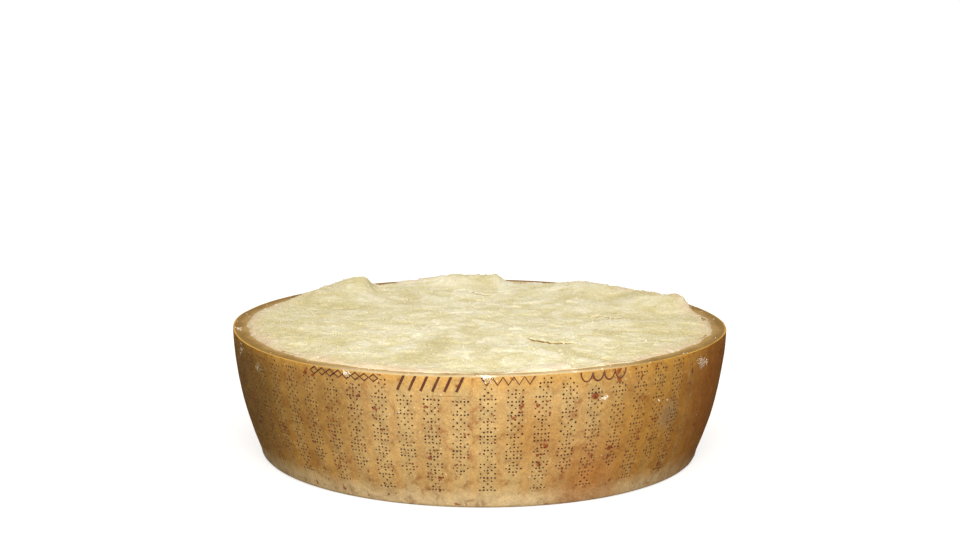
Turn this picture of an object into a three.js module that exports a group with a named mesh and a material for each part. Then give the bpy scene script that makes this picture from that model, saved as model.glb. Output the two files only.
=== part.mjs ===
// The lower half of a large wheel of hard grating cheese, split level across its middle.
//
// The rind is only the dried skin of the cheese, so the half wheel is one solid: a flat round
// base with a rounded edge, a side that bulges out towards the wheel's middle, a smooth flat
// ring where the rind was scored with a knife, and inside it the rough face where the paste
// broke when wedges drove the two halves apart.
//
// Millimetres, +Z up. The origin is the centre of the base, on the surface it stands on.
// The -Y side is the front.

import * as THREE from "three";

// ---- Driving dimensions -------------------------------------------------------------------
const CUT_RADIUS = 220; // the wheel's widest radius, at the cut
const SIDE_TURN_IN = 25.8; // how much narrower the base is than the cut, with no rounding
const CUT_HEIGHT = 114.5; // from the base to the cut
const CUT_SADDLE = 1.7; // the hand-scored cut is high at the front right and low at its left
const CUT_DROP = 0.9; // and this much low all round the back
const DROP_SPAN = 66; // the cut goes from the one to the other in this distance
const BULGE_POWER = 1.875; // how fast the side turns in below the cut
const EDGE_ROUND = 5; // the rounding between the base and the side
const RING_WIDTH = 12.5; // the scored flat ring of rind and hard paste
const LIP_WIDTH = 5; // the broken paste rises to its full height within this
const LIP_STEP = 1.2; // how far above the ring the broken paste lies at rest

// ---- The broken face ----------------------------------------------------------------------
// Places here are fractions of CUT_RADIUS; heights are millimetres.
// High and low places that the wedges left, each with its reach to its left, its right and
// front to back.
const HUMPS = [
  { x: -0.518, y: 0.7, height: 13.9, left: 0.102, right: 0.03, deep: 0.08 },
  { x: -0.686, y: 0.53, height: 5.5, left: 0.053, right: 0.086, deep: 0.09 },
  { x: -0.142, y: 0.85, height: 8.7, left: 0.091, right: 0.068, deep: 0.06 },
  { x: 0.066, y: 0.85, height: 10.2, left: 0.114, right: 0.034, deep: 0.06 },
  { x: 0.411, y: 0.76, height: 4.6, left: 0.09, right: 0.058, deep: 0.06 },
  { x: 0.624, y: 0.66, height: 5.2, left: 0.129, right: 0.096, deep: 0.06 },
  { x: 0.721, y: 0.53, height: 7.9, left: 0.079, right: 0.12, deep: 0.07 },
  { x: 0.855, y: 0.36, height: 11.4, left: 0.153, right: 0.081, deep: 0.07 },
  { x: -0.16, y: -0.52, height: 2.4, left: 0.2, right: 0.2, deep: 0.12 },
  { x: 0.46, y: -0.28, height: 2.6, left: 0.24, right: 0.24, deep: 0.08 },
  { x: -0.46, y: -0.14, height: 2.2, left: 0.24, right: 0.24, deep: 0.08 },
  { x: 0.08, y: -0.26, height: -2.6, left: 0.16, right: 0.16, deep: 0.12 },
  { x: -0.38, y: 0.18, height: -2.2, left: 0.18, right: 0.18, deep: 0.1 },
  { x: 0.58, y: 0.1, height: -2.4, left: 0.22, right: 0.22, deep: 0.07 },
];
// Ridges that fan out from near the middle, the way the crack ran.
const FAN_CENTRE = { x: -0.05, y: 0.08 };
const FAN_START = 0.06; // the ridges rise from here
const FAN_FULL = 0.6; // and have their full height from here out
const FAN_RIDGES = [
  { count: 7, height: 0.9, turn: 0.4 },
  { count: 12, height: 0.6, turn: 2.1 },
  { count: 17, height: 0.4, turn: 4.4 },
];
// Slow waves over the whole face: wavelength, height, the way they travel, and their start.
const SWELLS = [
  { length: 0.68, height: 0.9, heading: 25, turn: 1.0 },
  { length: 0.43, height: 0.8, heading: 100, turn: 3.3 },
  { length: 0.28, height: 0.5, heading: 160, turn: 5.0 },
];

// ---- How finely the solid is faceted ------------------------------------------------------
const AROUND = 96;
const EDGE_STEPS = 4;
const SIDE_STEPS = 9;
const FACE_STEPS = 17;
const LEVEL = 1e-3; // heights closer than this count as the same

const { cos, sin, exp, PI, hypot, atan, atan2 } = Math;
const { degToRad, lerp, smoothstep } = THREE.MathUtils;

// The side's radius at a height, before the edge is rounded.
function sideRadius(z) {
  const below = 1 - z / CUT_HEIGHT;
  return CUT_RADIUS - SIDE_TURN_IN * below ** BULGE_POWER;
}

// How far the side leans out for each millimetre of height.
function sideLean(z) {
  const below = 1 - z / CUT_HEIGHT;
  return (SIDE_TURN_IN / CUT_HEIGHT) * BULGE_POWER * below ** (BULGE_POWER - 1);
}

// The rounded edge: an arc that leaves the base level and joins the side along its lean.
function edgePoints() {
  const lean = atan(sideLean(EDGE_ROUND));
  const joinHeight = EDGE_ROUND * (1 - sin(lean));
  const centreRadius = sideRadius(joinHeight) - EDGE_ROUND * cos(lean);
  const points = [];
  for (let i = 0; i <= EDGE_STEPS; i++) {
    const angle = lerp(-PI / 2, -lean, i / EDGE_STEPS);
    const radius = centreRadius + EDGE_ROUND * cos(angle);
    points.push(new THREE.Vector2(radius, EDGE_ROUND * (1 + sin(angle))));
  }
  return points;
}

// The bulging side, from the rounded edge up to the cut.
function sidePoints(startHeight) {
  const points = [];
  for (let i = 1; i <= SIDE_STEPS; i++) {
    const z = lerp(startHeight, CUT_HEIGHT, i / SIDE_STEPS);
    points.push(new THREE.Vector2(sideRadius(z), z));
  }
  return points;
}

// The cut face, from the ring's inner edge to the axis. The first step is the narrow lip.
function facePoints() {
  const ringRadius = CUT_RADIUS - RING_WIDTH;
  const brokenRadius = ringRadius - LIP_WIDTH;
  const points = [new THREE.Vector2(ringRadius, CUT_HEIGHT)];
  for (let i = 0; i <= FACE_STEPS; i++) {
    const radius = brokenRadius * (1 - i / FACE_STEPS);
    points.push(new THREE.Vector2(radius, CUT_HEIGHT));
  }
  return points;
}

// A rounded hump or hollow. x and y are fractions of CUT_RADIUS.
function humpHeight(hump, x, y) {
  const reach = x < hump.x ? hump.left : hump.right;
  const across = (x - hump.x) / reach;
  const back = (y - hump.y) / hump.deep;
  return hump.height * exp(-0.5 * (across ** 2 + back ** 2));
}

// The ridges of the fan. x and y are fractions of CUT_RADIUS.
function fanHeight(x, y) {
  const out = hypot(x - FAN_CENTRE.x, y - FAN_CENTRE.y);
  const turn = atan2(y - FAN_CENTRE.y, x - FAN_CENTRE.x);
  let height = 0;
  for (const ridge of FAN_RIDGES)
    height += ridge.height * cos(ridge.count * turn + ridge.turn);
  return height * smoothstep(out, FAN_START, FAN_FULL);
}

// One slow wave. x and y are fractions of CUT_RADIUS.
function swellHeight(swell, x, y) {
  const heading = degToRad(swell.heading);
  const travelled = x * cos(heading) + y * sin(heading);
  return swell.height * cos((2 * PI * travelled) / swell.length + swell.turn);
}

// Height of the broken face above the scored ring, at a place in millimetres.
function brokenHeight(xMm, yMm) {
  const x = xMm / CUT_RADIUS;
  const y = yMm / CUT_RADIUS;
  const insideRing = CUT_RADIUS - RING_WIDTH - hypot(xMm, yMm);
  let height = LIP_STEP + fanHeight(x, y);
  for (const hump of HUMPS) height += humpHeight(hump, x, y);
  for (const swell of SWELLS) height += swellHeight(swell, x, y);
  return height * smoothstep(insideRing, 0, LIP_WIDTH);
}

// How far the uneven cut lifts a point: nothing at the base, all of it at the cut.
function cutLift(x, y, z) {
  const across = (-2 * x * y) / CUT_RADIUS ** 2;
  const atBack = smoothstep(y, 0, DROP_SPAN);
  const lift = CUT_SADDLE * across * (1 - atBack) - CUT_DROP * atBack;
  return (lift * z) / CUT_HEIGHT;
}

// The half wheel: a turned body whose cut is a little uneven, with a rough face inside it.
function halfWheelGeometry() {
  const edge = edgePoints();
  const side = sidePoints(edge[EDGE_STEPS].y);
  const profile = [new THREE.Vector2(0, 0), ...edge, ...side, ...facePoints()];
  const geometry = new THREE.LatheGeometry(profile, AROUND);
  geometry.rotateX(PI / 2);
  const position = geometry.getAttribute("position");
  for (let i = 0; i < position.count; i++) {
    const x = position.getX(i);
    const y = position.getY(i);
    const z = position.getZ(i);
    const onCut = z > CUT_HEIGHT - LEVEL;
    const lift = cutLift(x, y, z) + (onCut ? brokenHeight(x, y) : 0);
    // The base stays exactly flat, whatever rounding the turning left in it.
    position.setZ(i, z < LEVEL ? 0 : z + lift);
  }
  geometry.computeVertexNormals();
  return geometry;
}

const cheese = new THREE.MeshStandardMaterial({
  color: "#c8964f",
  roughness: 0.55,
  metalness: 0,
});

const halfWheel = new THREE.Mesh(halfWheelGeometry(), cheese);
halfWheel.name = "half_wheel";

const part = new THREE.Group();
part.add(halfWheel);

export default part;
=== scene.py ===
"""Half a wheel of long-aged grating cheese, split level and standing on its round base.

The cheese is one CAD solid. Four visual pieces stand for it: the rind with its pressed pin
dots and stamped border, the broken paste inside the scored ring, the hard grains that stand out
of the paste, and the loose crumbs. All lengths are metres in the CAD frame: +Z up, -Y the
front, origin at the centre of the base. Bearings are degrees from +X, so the front is at -90.
"""

from __future__ import annotations

import logging
import math
from dataclasses import dataclass, field, replace
from enum import Enum

import bpy
import numpy as np
from mathutils import Matrix, Vector, noise


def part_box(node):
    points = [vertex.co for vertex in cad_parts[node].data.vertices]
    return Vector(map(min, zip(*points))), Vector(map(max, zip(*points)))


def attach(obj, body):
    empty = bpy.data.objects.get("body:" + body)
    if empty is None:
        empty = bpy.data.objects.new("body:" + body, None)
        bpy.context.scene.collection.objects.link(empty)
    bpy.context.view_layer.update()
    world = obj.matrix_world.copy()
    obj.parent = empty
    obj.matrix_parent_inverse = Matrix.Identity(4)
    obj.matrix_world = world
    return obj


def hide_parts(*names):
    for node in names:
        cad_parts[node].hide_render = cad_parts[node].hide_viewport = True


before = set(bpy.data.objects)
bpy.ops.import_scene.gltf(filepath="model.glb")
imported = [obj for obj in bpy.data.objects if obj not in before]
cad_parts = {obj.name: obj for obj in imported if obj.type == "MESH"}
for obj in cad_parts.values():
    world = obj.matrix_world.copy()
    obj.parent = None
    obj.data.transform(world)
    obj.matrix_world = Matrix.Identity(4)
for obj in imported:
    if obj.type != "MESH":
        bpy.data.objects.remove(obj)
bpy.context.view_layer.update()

LOG = logging.getLogger("half_wheel")
MM = 0.001
CAD_NODE = "half_wheel"
BODY = "root"

Colour = tuple[float, float, float, float]


# ---- Small tools --------------------------------------------------------------------------


def linear(hex_code: str) -> Colour:
    """Turn an sRGB hex colour into the linear colour that shaders use.

    Args:
        hex_code: six hex digits with a leading #.

    Returns:
        Red, green, blue and an alpha of 1.
    """
    channels = [int(hex_code[i : i + 2], 16) / 255 for i in (1, 3, 5)]
    straight = [c / 12.92 if c <= 0.04045 else ((c + 0.055) / 1.055) ** 2.4 for c in channels]
    return (straight[0], straight[1], straight[2], 1.0)


def add(
    tree: bpy.types.NodeTree, kind: str, links: dict[str, object] | None = None, **settings: object
) -> bpy.types.Node:
    """Add a node with its settings, input values and links.

    Args:
        tree: the node tree that gets the node.
        kind: the node's Blender type name.
        links: input name or identifier to a value, a socket, or a node whose first output is meant.
        **settings: properties set on the node before its inputs.

    Returns:
        The new node.
    """
    node = tree.nodes.new(kind)
    for name, value in settings.items():
        setattr(node, name, value)
    for key, value in (links or {}).items():
        socket = next(s for s in node.inputs if s.enabled and key in (s.name, s.identifier))
        if isinstance(value, bpy.types.Node):
            value = next(s for s in value.outputs if s.enabled)
        if isinstance(value, bpy.types.NodeSocket):
            tree.links.new(value, socket)
        else:
            socket.default_value = value
    return node


def new_object(name: str, mesh: bpy.types.Mesh) -> bpy.types.Object:
    """Put a mesh in the scene as an object at the origin.

    Args:
        name: the object's name.
        mesh: its mesh, already in place.

    Returns:
        The new object.
    """
    item = bpy.data.objects.new(name, mesh)
    bpy.context.scene.collection.objects.link(item)
    return item


def new_material(name: str) -> tuple[bpy.types.Material, bpy.types.NodeTree]:
    """Start a material with an empty node tree.

    Args:
        name: the material's name.

    Returns:
        The material and its tree.
    """
    material = bpy.data.materials.new(name)
    material.use_nodes = True
    material.node_tree.nodes.clear()
    return material, material.node_tree


def smooth_step(value: np.ndarray, low: float, high: float) -> np.ndarray:
    """Rise smoothly from 0 at low to 1 at high, for each number of an array."""
    share = np.clip((value - low) / (high - low), 0, 1)
    return share * share * (3 - 2 * share)


def grow(host: bpy.types.Object, tree: bpy.types.NodeTree, values: dict[str, object]) -> bpy.types.Mesh:
    """Run a Geometry Nodes tree on an object and return what it makes as a plain mesh.

    Args:
        host: the object whose mesh goes into the tree. It is removed afterwards.
        tree: the tree.
        values: the tree's input names to their values.

    Returns:
        The finished mesh, free of the modifier.
    """
    modifier = host.modifiers.new(tree.name, "NODES")
    modifier.node_group = tree
    for item in tree.interface.items_tree:
        if item.in_out == "INPUT" and item.name in values:
            modifier[item.identifier] = values[item.name]
    seen = host.evaluated_get(bpy.context.evaluated_depsgraph_get())
    mesh = bpy.data.meshes.new_from_object(seen)
    bpy.data.objects.remove(host)
    return mesh


def new_tree(name: str, inputs: dict[str, str]) -> tuple[bpy.types.NodeTree, bpy.types.Node]:
    """Start a Geometry Nodes tree with named inputs.

    Args:
        name: the tree's name.
        inputs: input name to socket type, after the Geometry that always comes first.

    Returns:
        The tree and its Group Input node.
    """
    tree = bpy.data.node_groups.new(name, "GeometryNodeTree")
    tree.interface.new_socket("Geometry", in_out="OUTPUT", socket_type="NodeSocketGeometry")
    tree.interface.new_socket("Geometry", in_out="INPUT", socket_type="NodeSocketGeometry")
    for label, socket_type in inputs.items():
        tree.interface.new_socket(label, in_out="INPUT", socket_type=socket_type)
    return tree, add(tree, "NodeGroupInput")


# ---- The shape they all share -------------------------------------------------------------


@dataclass(frozen=True)
class WheelShape:
    """The sizes of the half wheel that more than one piece follows."""

    cut_radius: float
    cut_height: float
    turn_in: float = 25.8 * MM
    bulge_power: float = 1.875
    edge_round: float = 5 * MM
    ring_width: float = 12.5 * MM
    saddle: float = 1.7 * MM
    back_drop: float = 0.9 * MM
    drop_span: float = 66 * MM

    @classmethod
    def from_cad(cls) -> WheelShape:
        """Read the cut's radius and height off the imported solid's widest point.

        Returns:
            The shape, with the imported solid's sizes.
        """
        widest = max(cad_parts[CAD_NODE].data.vertices, key=lambda v: v.co.x).co
        low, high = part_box(CAD_NODE)
        return cls(cut_radius=(high.x - low.x) / 2, cut_height=widest.z)

    def side_radius(self, z: np.ndarray) -> np.ndarray:
        """Give the bulging side's radius at each height."""
        below = np.clip(1 - z / self.cut_height, 0, 1)
        return self.cut_radius - self.turn_in * below**self.bulge_power

    def lift(self, x: np.ndarray, y: np.ndarray, z: np.ndarray) -> np.ndarray:
        """Give how far the hand-scored cut, a little uneven, lifts each point.

        Args:
            x: places across, in metres.
            y: places back, in metres.
            z: heights over the base, in metres.

        Returns:
            The lift of each point, in metres.
        """
        at_back = smooth_step(y, 0, self.drop_span)
        saddle = -2 * self.saddle * x * y / self.cut_radius**2
        return (saddle * (1 - at_back) - self.back_drop * at_back) * z / self.cut_height

    def place_on_side(self, bearing: np.ndarray, depth: np.ndarray) -> np.ndarray:
        """Find places on the side from bearings in radians and depths below the cut.

        Args:
            bearing: one angle for each place.
            depth: one depth for each place; a negative one is above the cut.

        Returns:
            One row of x, y, z for each place.
        """
        z = self.cut_height - depth
        radius = self.side_radius(z)
        x, y = radius * np.cos(bearing), radius * np.sin(bearing)
        return np.stack([x, y, z + self.lift(x, y, z)], axis=-1)


# ---- Finishes -----------------------------------------------------------------------------


@dataclass(frozen=True)
class Zone:
    """A broad soft patch of another colour on the rind, centred on one place.

    bearing is degrees round the wheel, height and reach are metres.
    """

    bearing: float
    height: float
    reach: float
    hue: str
    strength: float


@dataclass(frozen=True)
class Spots:
    """One size of small scattered spot on the rind.

    Of the cells of a net with this spacing, those above the share hold a spot that grows to the
    reach, a share of a cell. Rust follows the pins and the damp, and chalk does not.
    """

    spacing: float
    share: float
    reach: float
    hue: str
    strength: float
    follows_pins: bool


@dataclass(frozen=True)
class DriedRind:
    """Natural cheese rind, brushed and dried for two years.

    The outside is honey to ochre, clouded in patches a few centimetres wide and greener under
    the pins than between them, with rust stains where the pins let air in, a saturated band
    under the cut, and a low waxy sheen.
    """

    cut_radius: float
    cut_height: float
    columns: int
    first_bearing: float
    honey: str = "#c7923e"
    ochre: str = "#a8702b"
    amber: str = "#d79c3c"
    golden: str = "#c88f34"
    olive: str = "#c0a362"
    pale: str = "#dcbd80"
    painted_highlight: str = "#dcbd88"
    foot: str = "#e4cb9c"
    orange: str = "#b8692a"
    cloud_size: float = 24 * MM
    fleck_size: float = 4.5 * MM
    speck_size: float = 1.7 * MM
    blotch_size: float = 10 * MM
    amber_depth: float = 16 * MM
    pale_height: float = 20 * MM
    painted_highlight_share: float = 0.68
    stripe_share: float = 0.3
    fleck_share: float = 0.4
    amber_share: float = 0.45
    foot_share: float = 0.78
    orange_share: float = 0.55
    roughness: float = 0.5
    spots: tuple[Spots, ...] = (
        Spots(6.5 * MM, 0.42, 0.46, "#86340f", 0.85, True),
        Spots(3.4 * MM, 0.56, 0.46, "#86340f", 0.85, True),
        Spots(4.2 * MM, 0.42, 0.22, "#f0deb4", 0.6, False),
    )
    zones: tuple[Zone, ...] = (
        Zone(-18.0, 70 * MM, 120 * MM, "#a46216", 0.95),
        Zone(-50.0, 64 * MM, 72 * MM, "#b8802a", 0.65),
        Zone(-64.0, 18 * MM, 56 * MM, "#b87430", 0.75),
        Zone(-78.0, 62 * MM, 38 * MM, "#b47a30", 0.55),
        Zone(-155.0, 72 * MM, 96 * MM, "#805c24", 0.75),
        Zone(-126.0, 80 * MM, 58 * MM, "#a2742f", 0.6),
        Zone(-43.0, 66 * MM, 21 * MM, "#9c876a", 0.55),
        Zone(-31.5, 103 * MM, 6 * MM, "#dcc8b0", 0.6),
        Zone(-62.5, 92 * MM, 4 * MM, "#e6d6c0", 0.7),
        Zone(-148.0, 98 * MM, 6 * MM, "#b8a07a", 0.4),
        Zone(-118.8, 111 * MM, 4 * MM, "#e0d0b8", 0.5),
    )

    def build(self) -> bpy.types.Material:
        """Build the material.

        Returns:
            The finished material.
        """
        material, tree = new_material("dried brushed rind")
        place = add(tree, "ShaderNodeTexCoord").outputs["Object"]
        axes = add(tree, "ShaderNodeSeparateXYZ", {"Vector": place})
        height = axes.outputs["Z"]
        clouds = add(
            tree,
            "ShaderNodeTexNoise",
            {"Vector": place, "Scale": 1 / self.cloud_size, "Detail": 4.0, "Roughness": 0.6},
        )
        flecks = add(
            tree,
            "ShaderNodeTexNoise",
            {"Vector": place, "Scale": 1 / self.fleck_size, "Detail": 3.0, "Roughness": 0.6},
        )
        specks = add(
            tree, "ShaderNodeTexNoise", {"Vector": place, "Scale": 1 / self.speck_size, "Detail": 2.0}
        )
        swing = add(
            tree,
            "ShaderNodeVectorMath",
            {"Vector": flecks.outputs["Color"], "Scale": 9 * MM},
            operation="SCALE",
        )
        ragged = add(tree, "ShaderNodeVectorMath", {"Vector": place, "Vector_001": swing}, operation="ADD")
        clouded = add(
            tree,
            "ShaderNodeMapRange",
            {"Value": clouds, "From Min": 0.38, "From Max": 0.62},
            interpolation_type="SMOOTHSTEP",
        )
        colour = add(
            tree,
            "ShaderNodeMix",
            {"Factor": clouded, "A": linear(self.honey), "B": linear(self.ochre)},
            data_type="RGBA",
        )
        # Painted highlight: towards the front and back the rind is mixed to a pale colour, standing in for
        # the sheen of frontal light.
        facing = add(tree, "ShaderNodeMath", {"Value": axes.outputs["Y"]}, operation="ABSOLUTE")
        drifting = add(
            tree,
            "ShaderNodeMath",
            {"Value": clouds, "Value_001": -0.3 * self.cut_radius, "Value_002": facing},
            operation="MULTIPLY_ADD",
        )
        highlighted = add(
            tree,
            "ShaderNodeMapRange",
            {
                "Value": drifting,
                "From Min": 0.44 * self.cut_radius,
                "From Max": 0.84 * self.cut_radius,
                "To Max": self.painted_highlight_share,
            },
            interpolation_type="SMOOTHSTEP",
        )
        colour = add(
            tree,
            "ShaderNodeMix",
            {"Factor": highlighted, "A": colour, "B": linear(self.painted_highlight)},
            data_type="RGBA",
        )
        # Under a column of pins the rind is a little greener, and between two it is golden.
        bearing = add(
            tree,
            "ShaderNodeMath",
            {"Value": axes.outputs["Y"], "Value_001": axes.outputs["X"]},
            operation="ARCTAN2",
        )
        phase = -self.columns * math.radians(self.first_bearing)
        beat = add(
            tree,
            "ShaderNodeMath",
            {"Value": bearing, "Value_001": float(self.columns), "Value_002": phase},
            operation="MULTIPLY_ADD",
        )
        beat = add(tree, "ShaderNodeMath", {"Value": beat}, operation="COSINE")
        pinned = add(
            tree,
            "ShaderNodeMapRange",
            {"Value": beat, "From Min": -0.75, "From Max": 0.15},
            interpolation_type="SMOOTHSTEP",
        )
        striped = add(
            tree,
            "ShaderNodeMix",
            {"Factor": pinned, "A": linear(self.golden), "B": linear(self.olive)},
            data_type="RGBA",
        )
        colour = add(
            tree,
            "ShaderNodeMix",
            {"Factor": self.stripe_share, "A": colour, "B": striped},
            data_type="RGBA",
        )
        flecked = add(
            tree,
            "ShaderNodeMapRange",
            {"Value": flecks, "From Min": 0.54, "From Max": 0.68, "To Max": self.fleck_share},
            interpolation_type="SMOOTHSTEP",
        )
        colour = add(
            tree,
            "ShaderNodeMix",
            {"Factor": flecked, "A": colour, "B": linear(self.pale)},
            data_type="RGBA",
        )
        amber_from = self.cut_height - self.amber_depth
        amber = add(
            tree,
            "ShaderNodeMapRange",
            {
                "Value": height,
                "From Min": amber_from,
                "From Max": self.cut_height - 2 * MM,
                "To Max": self.amber_share,
            },
            interpolation_type="SMOOTHSTEP",
        )
        colour = add(
            tree, "ShaderNodeMix", {"Factor": amber, "A": colour, "B": linear(self.amber)}, data_type="RGBA"
        )
        low = add(
            tree,
            "ShaderNodeMath",
            {"Value": clouds, "Value_001": 20 * MM, "Value_002": height},
            operation="MULTIPLY_ADD",
        )
        pale = add(
            tree,
            "ShaderNodeMapRange",
            {
                "Value": low,
                "From Min": self.pale_height + 12 * MM,
                "From Max": 14 * MM,
                "To Max": self.foot_share,
            },
            interpolation_type="SMOOTHSTEP",
        )
        colour = add(
            tree, "ShaderNodeMix", {"Factor": pale, "A": colour, "B": linear(self.foot)}, data_type="RGBA"
        )
        for zone in self.zones:
            turn = math.radians(zone.bearing)
            centre = (self.cut_radius * math.cos(turn), self.cut_radius * math.sin(turn), zone.height)
            away = add(
                tree, "ShaderNodeVectorMath", {"Vector": place, "Vector_001": centre}, operation="DISTANCE"
            ).outputs["Value"]
            away = add(
                tree,
                "ShaderNodeMath",
                {"Value": clouds, "Value_001": 0.7 * zone.reach, "Value_002": away},
                operation="MULTIPLY_ADD",
            )
            near = add(
                tree,
                "ShaderNodeMapRange",
                {
                    "Value": away,
                    "From Min": 1.35 * zone.reach,
                    "From Max": 0.55 * zone.reach,
                    "To Max": zone.strength,
                },
                interpolation_type="SMOOTHSTEP",
            )
            colour = add(
                tree,
                "ShaderNodeMix",
                {"Factor": near, "A": colour, "B": linear(zone.hue)},
                data_type="RGBA",
            )
        blotches = add(
            tree,
            "ShaderNodeTexNoise",
            {
                "Vector": place,
                "Scale": 1 / self.blotch_size,
                "Detail": 5.0,
                "Roughness": 0.65,
                "Distortion": 0.6,
            },
        )
        warm = add(
            tree,
            "ShaderNodeMapRange",
            {"Value": blotches, "From Min": 0.55, "From Max": 0.7, "To Max": self.orange_share},
            interpolation_type="SMOOTHSTEP",
        )
        colour = add(
            tree, "ShaderNodeMix", {"Factor": warm, "A": colour, "B": linear(self.orange)}, data_type="RGBA"
        )
        blotched = add(
            tree,
            "ShaderNodeMapRange",
            {"Value": blotches, "From Min": 0.3, "From Max": 0.7, "To Min": 1.06, "To Max": 0.7},
        )
        colour = add(
            tree,
            "ShaderNodeMix",
            {"Factor": 1.0, "A": colour, "B": blotched},
            data_type="RGBA",
            blend_type="MULTIPLY",
        )
        stained = add(tree, "ShaderNodeMapRange", {"Value": pinned, "To Min": 0.4, "To Max": 1.0})
        damp = add(
            tree,
            "ShaderNodeMapRange",
            {"Value": clouds, "From Min": 0.42, "From Max": 0.6, "To Min": 0.55, "To Max": 1.3},
        )
        stained = add(tree, "ShaderNodeMath", {"Value": stained, "Value_001": damp}, operation="MULTIPLY")
        for spots in self.spots:
            cells = add(tree, "ShaderNodeTexVoronoi", {"Vector": ragged, "Scale": 1 / spots.spacing})
            lot = add(tree, "ShaderNodeSeparateColor", {"Color": cells.outputs["Color"]}).outputs["Red"]
            size = add(
                tree, "ShaderNodeMapRange", {"Value": lot, "From Min": spots.share, "To Max": spots.reach}
            )
            if spots.follows_pins:
                size = add(
                    tree, "ShaderNodeMath", {"Value": size, "Value_001": stained}, operation="MULTIPLY"
                )
            depth_in = add(
                tree,
                "ShaderNodeMath",
                {"Value": size, "Value_001": cells.outputs["Distance"]},
                operation="SUBTRACT",
            )
            spot = add(
                tree,
                "ShaderNodeMapRange",
                {"Value": depth_in, "From Max": 0.5 * spots.reach, "To Max": spots.strength},
                interpolation_type="SMOOTHSTEP",
            )
            colour = add(
                tree,
                "ShaderNodeMix",
                {"Factor": spot, "A": colour, "B": linear(spots.hue)},
                data_type="RGBA",
            )
        speckled = add(
            tree,
            "ShaderNodeMapRange",
            {"Value": specks, "From Min": 0.3, "From Max": 0.7, "To Min": 0.86, "To Max": 1.14},
        )
        colour = add(
            tree,
            "ShaderNodeMix",
            {"Factor": 1.0, "A": colour, "B": speckled},
            data_type="RGBA",
            blend_type="MULTIPLY",
        )
        worn = add(
            tree,
            "ShaderNodeMapRange",
            {
                "Value": flecks,
                "From Min": 0.35,
                "From Max": 0.65,
                "To Min": self.roughness - 0.07,
                "To Max": self.roughness + 0.1,
            },
        )
        leathery = add(tree, "ShaderNodeBump", {"Height": flecks, "Strength": 0.5, "Distance": 0.5 * MM})
        grain = add(
            tree,
            "ShaderNodeBump",
            {"Height": specks, "Normal": leathery, "Strength": 0.5, "Distance": 0.25 * MM},
        )
        skin = add(
            tree,
            "ShaderNodeBsdfPrincipled",
            {
                "Base Color": colour,
                "Roughness": worn,
                "Normal": grain,
                "IOR": 1.42,
                "Specular IOR Level": 0.3,
            },
        )
        add(tree, "ShaderNodeOutputMaterial", {"Surface": skin})
        return material


@dataclass(frozen=True)
class PinHole:
    """The bottom of a pressed mark: rind that the mould's pins crushed and air browned.

    It is near black-brown where it was pressed hard, and rusty where it was not.
    """

    name: str = "browned pin hole"
    dark: str = "#4c2a16"
    rusty: str = "#84401c"
    patch_size: float = 16 * MM
    roughness: float = 0.7

    def build(self) -> bpy.types.Material:
        """Build the material.

        Returns:
            The finished material.
        """
        material, tree = new_material(self.name)
        place = add(tree, "ShaderNodeTexCoord").outputs["Object"]
        patches = add(
            tree, "ShaderNodeTexNoise", {"Vector": place, "Scale": 1 / self.patch_size, "Detail": 3.0}
        )
        share = add(
            tree,
            "ShaderNodeMapRange",
            {"Value": patches, "From Min": 0.42, "From Max": 0.68},
            interpolation_type="SMOOTHSTEP",
        )
        colour = add(
            tree,
            "ShaderNodeMix",
            {"Factor": share, "A": linear(self.dark), "B": linear(self.rusty)},
            data_type="RGBA",
        )
        hole = add(
            tree,
            "ShaderNodeBsdfPrincipled",
            {"Base Color": colour, "Roughness": self.roughness, "IOR": 1.45},
        )
        add(tree, "ShaderNodeOutputMaterial", {"Surface": hole})
        return material


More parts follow.
